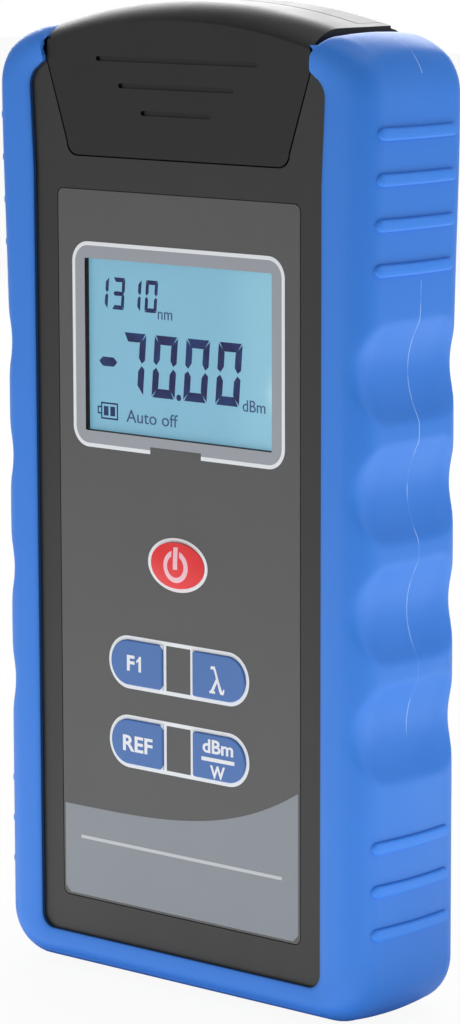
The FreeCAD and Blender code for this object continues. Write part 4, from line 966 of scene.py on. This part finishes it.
class METER_OT_keys(bpy.types.Operator):
    """Finishes the four keys and prints their outlines and legends"""
    bl_idname = "meter.keys"
    bl_label = "Keys"

    def execute(self, context):
        make_keys(context.scene.meter_face)
        return {"FINISHED"}


class METER_OT_power_key(bpy.types.Operator):
    """Finishes the power key and makes its ring and sign"""
    bl_idname = "meter.power_key"
    bl_label = "Power key"

    def execute(self, context):
        make_power_key(context.scene.meter_face)
        return {"FINISHED"}


class METER_OT_port(bpy.types.Operator):
    """Finishes the optical port under the cap"""
    bl_idname = "meter.port"
    bl_label = "Optical port"

    def execute(self, context):
        nickel = metal("nickel_plate", (0.66, 0.63, 0.58), 0.26, (1, 1, 10))
        for node in ("port_adapter", "detector_can", "contact_springs", "contact_plates"):
            wear(node, nickel)
        wear("adapter_screws", metal("screw_steel", (0.5, 0.5, 0.52), 0.32, (1, 1, 6)))
        wear("ferrule_sleeve", moulded("sleeve_ceramic", (0.84, 0.83, 0.79), 0.18, 0.5))
        glass = Finish("can_glass", (0.35, 0.4, 0.5), 0.05, Alpha=0.5)
        glass.set("Base Color", glass.mix(glass.noise(1.5), (0.2, 0.22, 0.34), (0.32, 0.36, 0.5)))
        wear("detector_window", glass)
        return {"FINISHED"}


class METER_OT_inside(bpy.types.Operator):
    """Finishes the boards, switches, chips and cells inside"""
    bl_idname = "meter.inside"
    bl_label = "Inside"

    def execute(self, context):
        board = Finish("board_green", (0.02, 0.13, 0.05), 0.35)
        tracks = board.node("ShaderNodeTexVoronoi", {"feature": "DISTANCE_TO_EDGE"},
                            {"Vector": board.place, "Scale": 320.0})
        board.set("Base Color",
                  board.mix(board.ramp(tracks, 0.05, 0.09), (0.05, 0.26, 0.1), (0.02, 0.13, 0.05)))
        board.bump(board.ramp(tracks, 0.05, 0.09), 0.02)
        for node in ("main_board", "detector_board"):
            wear(node, board)
        wear("board_chips", moulded("chip_black", (0.02, 0.02, 0.022), 0.55, 0.2))
        wear("key_switches", moulded("switch_black", (0.03, 0.03, 0.03), 0.45, 0.4))
        wear("light_guide", moulded("guide_white", (0.78, 0.78, 0.75), 0.35, 0.6))
        wear("flat_cable", moulded("cable_white", (0.75, 0.75, 0.73), 0.4, 0.6))
        wear("board_screws", metal("board_screw_steel", (0.6, 0.6, 0.61), 0.3, (6, 1, 1)))
        jacket = Finish("cell_jacket", (0.07, 0.07, 0.08), 0.28)
        band = jacket.ramp(jacket.axis(2), 52.0, 52.4)
        jacket.set("Base Color", jacket.mix(band, (0.06, 0.06, 0.07), (0.55, 0.36, 0.16)))
        jacket.set("Metallic", band * 0.8)
        jacket.bump(jacket.noise(1.2), 0.02)
        wear("battery_cells", jacket)
        return {"FINISHED"}


class METER_OT_stage(bpy.types.Operator):
    """Makes the floor, the lights and the camera"""
    bl_idname = "meter.stage"
    bl_label = "Stage"

    def execute(self, context):
        stage = context.scene.meter_stage
        make_floor(stage)
        make_world(context.scene)
        make_lights()
        make_camera(context.scene, stage)
        context.scene.view_settings.view_transform = "Standard"
        return {"FINISHED"}


def make_floor(stage):
    """A plain pale floor that keeps the shadow."""
    mesh = bmesh.new()
    bmesh.ops.create_grid(mesh, x_segments=1, y_segments=1, size=3.0)
    data = bpy.data.meshes.new("floor")
    mesh.to_mesh(data)
    mesh.free()
    floor = bpy.data.objects.new("floor", data)
    floor.location.z = CAD_BOX[0][2] - 0.0002
    bpy.context.scene.collection.objects.link(floor)
    finish = Finish("floor_white", stage.floor, 0.8)
    seen = finish.node("ShaderNodeLightPath", output="Is Camera Ray")
    plain = Value(finish, finish.shader.outputs[0])
    glow = finish.node("ShaderNodeEmission", sockets=((1, 1, 1, 1), 1.0))
    both = finish.node("ShaderNodeMixShader", sockets=(seen * 0.93, plain, glow))
    finish.tree.links.new(both.socket, finish.tree.nodes["Material Output"].inputs["Surface"])
    data.materials.append(finish.material)


def make_world(scene):
    """Even soft light all round, white to the camera."""
    world = bpy.data.worlds.new("studio")
    scene.world = world
    world.use_nodes = True
    tree = world.node_tree
    light, white = tree.nodes["Background"], tree.nodes.new("ShaderNodeBackground")
    for node, strength in ((light, 0.36), (white, 1.0)):
        node.inputs["Color"].default_value = (1.0, 1.0, 1.0, 1)
        node.inputs["Strength"].default_value = strength
    path = tree.nodes.new("ShaderNodeLightPath")
    mixer = tree.nodes.new("ShaderNodeMixShader")
    tree.links.new(path.outputs["Is Camera Ray"], mixer.inputs[0])
    tree.links.new(light.outputs[0], mixer.inputs[1])
    tree.links.new(white.outputs[0], mixer.inputs[2])
    tree.links.new(mixer.outputs[0], tree.nodes["World Output"].inputs["Surface"])


def make_lights():
    """Large soft lamps all round, and a lit table top whose light thins out with distance."""
    middle, foot = (0, 0, 0.1), CAD_BOX[0][2] - 0.0001
    for name, place, aim, size, power in (
            ("lamp_over", (0.1, 0.15, 1.1), middle, (0.9, 0.9), 3.5),
            ("lamp_back", (-0.75, 0.9, 0.55), (0, 0, 0.15), (1.0, 0.7), 10.0),
            ("lamp_right", (1.0, 0.5, 0.45), middle, (0.9, 0.9), 2.5),
            ("lamp_front", (-0.6, -1.0, 0.35), middle, (0.9, 0.9), 2.1),
            ("table_front", (-0.04, -0.12, foot), (-0.04, -0.119, 1.0), (0.6, 0.6), 1.15),
            ("table_right", (0.34, 0.2, foot), (0.34, 0.201, 1.0), (0.5, 0.5), 0.9)):
        data = bpy.data.lights.new(name, "AREA")
        data.shape = "RECTANGLE"
        data.size, data.size_y = size
        data.energy = power
        lamp = bpy.data.objects.new(name, data)
        lamp.location = place
        lamp.rotation_euler = (Vector(aim) - lamp.location).to_track_quat("-Z", "Y").to_euler()
        lamp.visible_camera = False
        bpy.context.scene.collection.objects.link(lamp)


def make_camera(scene, stage):
    """Camera at the front right, a little above the middle."""
    turn, tilt, roll = math.radians(41.44), math.radians(9.15), math.radians(-0.17)
    ahead = Vector((-math.sin(turn) * math.cos(tilt), math.cos(turn) * math.cos(tilt), -math.sin(tilt)))
    right = ahead.cross(Vector((0, 0, 1))).normalized()
    up = right.cross(ahead)
    across = right * math.cos(roll) + up * math.sin(roll)
    upright = up * math.cos(roll) - right * math.sin(roll)
    data = bpy.data.cameras.new("camera")
    data.sensor_fit = "VERTICAL"
    data.sensor_height = 24
    data.lens = stage.lens
    data.clip_start = 0.01
    camera = bpy.data.objects.new("camera", data)
    turned = Matrix((across, upright, -ahead)).transposed().to_4x4()
    camera.matrix_world = Matrix.Translation(stage.camera) @ turned
    scene.collection.objects.link(camera)
    scene.camera = camera


class METER_PT_sidebar(bpy.types.Panel):
    """Lists the pieces and their settings"""
    bl_label = "Optical power meter"
    bl_idname = "METER_PT_sidebar"
    bl_space_type = "VIEW_3D"
    bl_region_type = "UI"
    bl_category = "Meter"

    def draw(self, context):
        for settings in (context.scene.meter_boot, context.scene.meter_face, context.scene.meter_display,
                         context.scene.meter_stage):
            box = self.layout.box()
            for name in settings.bl_rna.properties.keys():
                if name not in ("rna_type", "name"):
                    box.prop(settings, name)
        for operator in OPERATORS:
            self.layout.operator(operator.bl_idname)


GROUPS = {"meter_boot": MeterBoot, "meter_face": MeterFace, "meter_display": MeterDisplay,
          "meter_stage": MeterStage}
OPERATORS = (METER_OT_stage, METER_OT_boot, METER_OT_case, METER_OT_panel, METER_OT_display, METER_OT_keys,
             METER_OT_power_key, METER_OT_port, METER_OT_inside)


def register():
    """Adds the settings, the operators and the sidebar."""
    for name, group in GROUPS.items():
        bpy.utils.register_class(group)
        setattr(bpy.types.Scene, name, bpy.props.PointerProperty(type=group))
    for one in (*OPERATORS, METER_PT_sidebar):
        bpy.utils.register_class(one)


def unregister():
    """Takes away what register adds."""
    for one in (METER_PT_sidebar, *reversed(OPERATORS)):
        bpy.utils.unregister_class(one)
    for name, group in GROUPS.items():
        delattr(bpy.types.Scene, name)
        bpy.utils.unregister_class(group)


def main():
    """Makes every piece."""
    register()
    for one in OPERATORS:
        category, name = one.bl_idname.split(".")
        getattr(getattr(bpy.ops, category), name)()


if __name__ == "__main__":
    main()
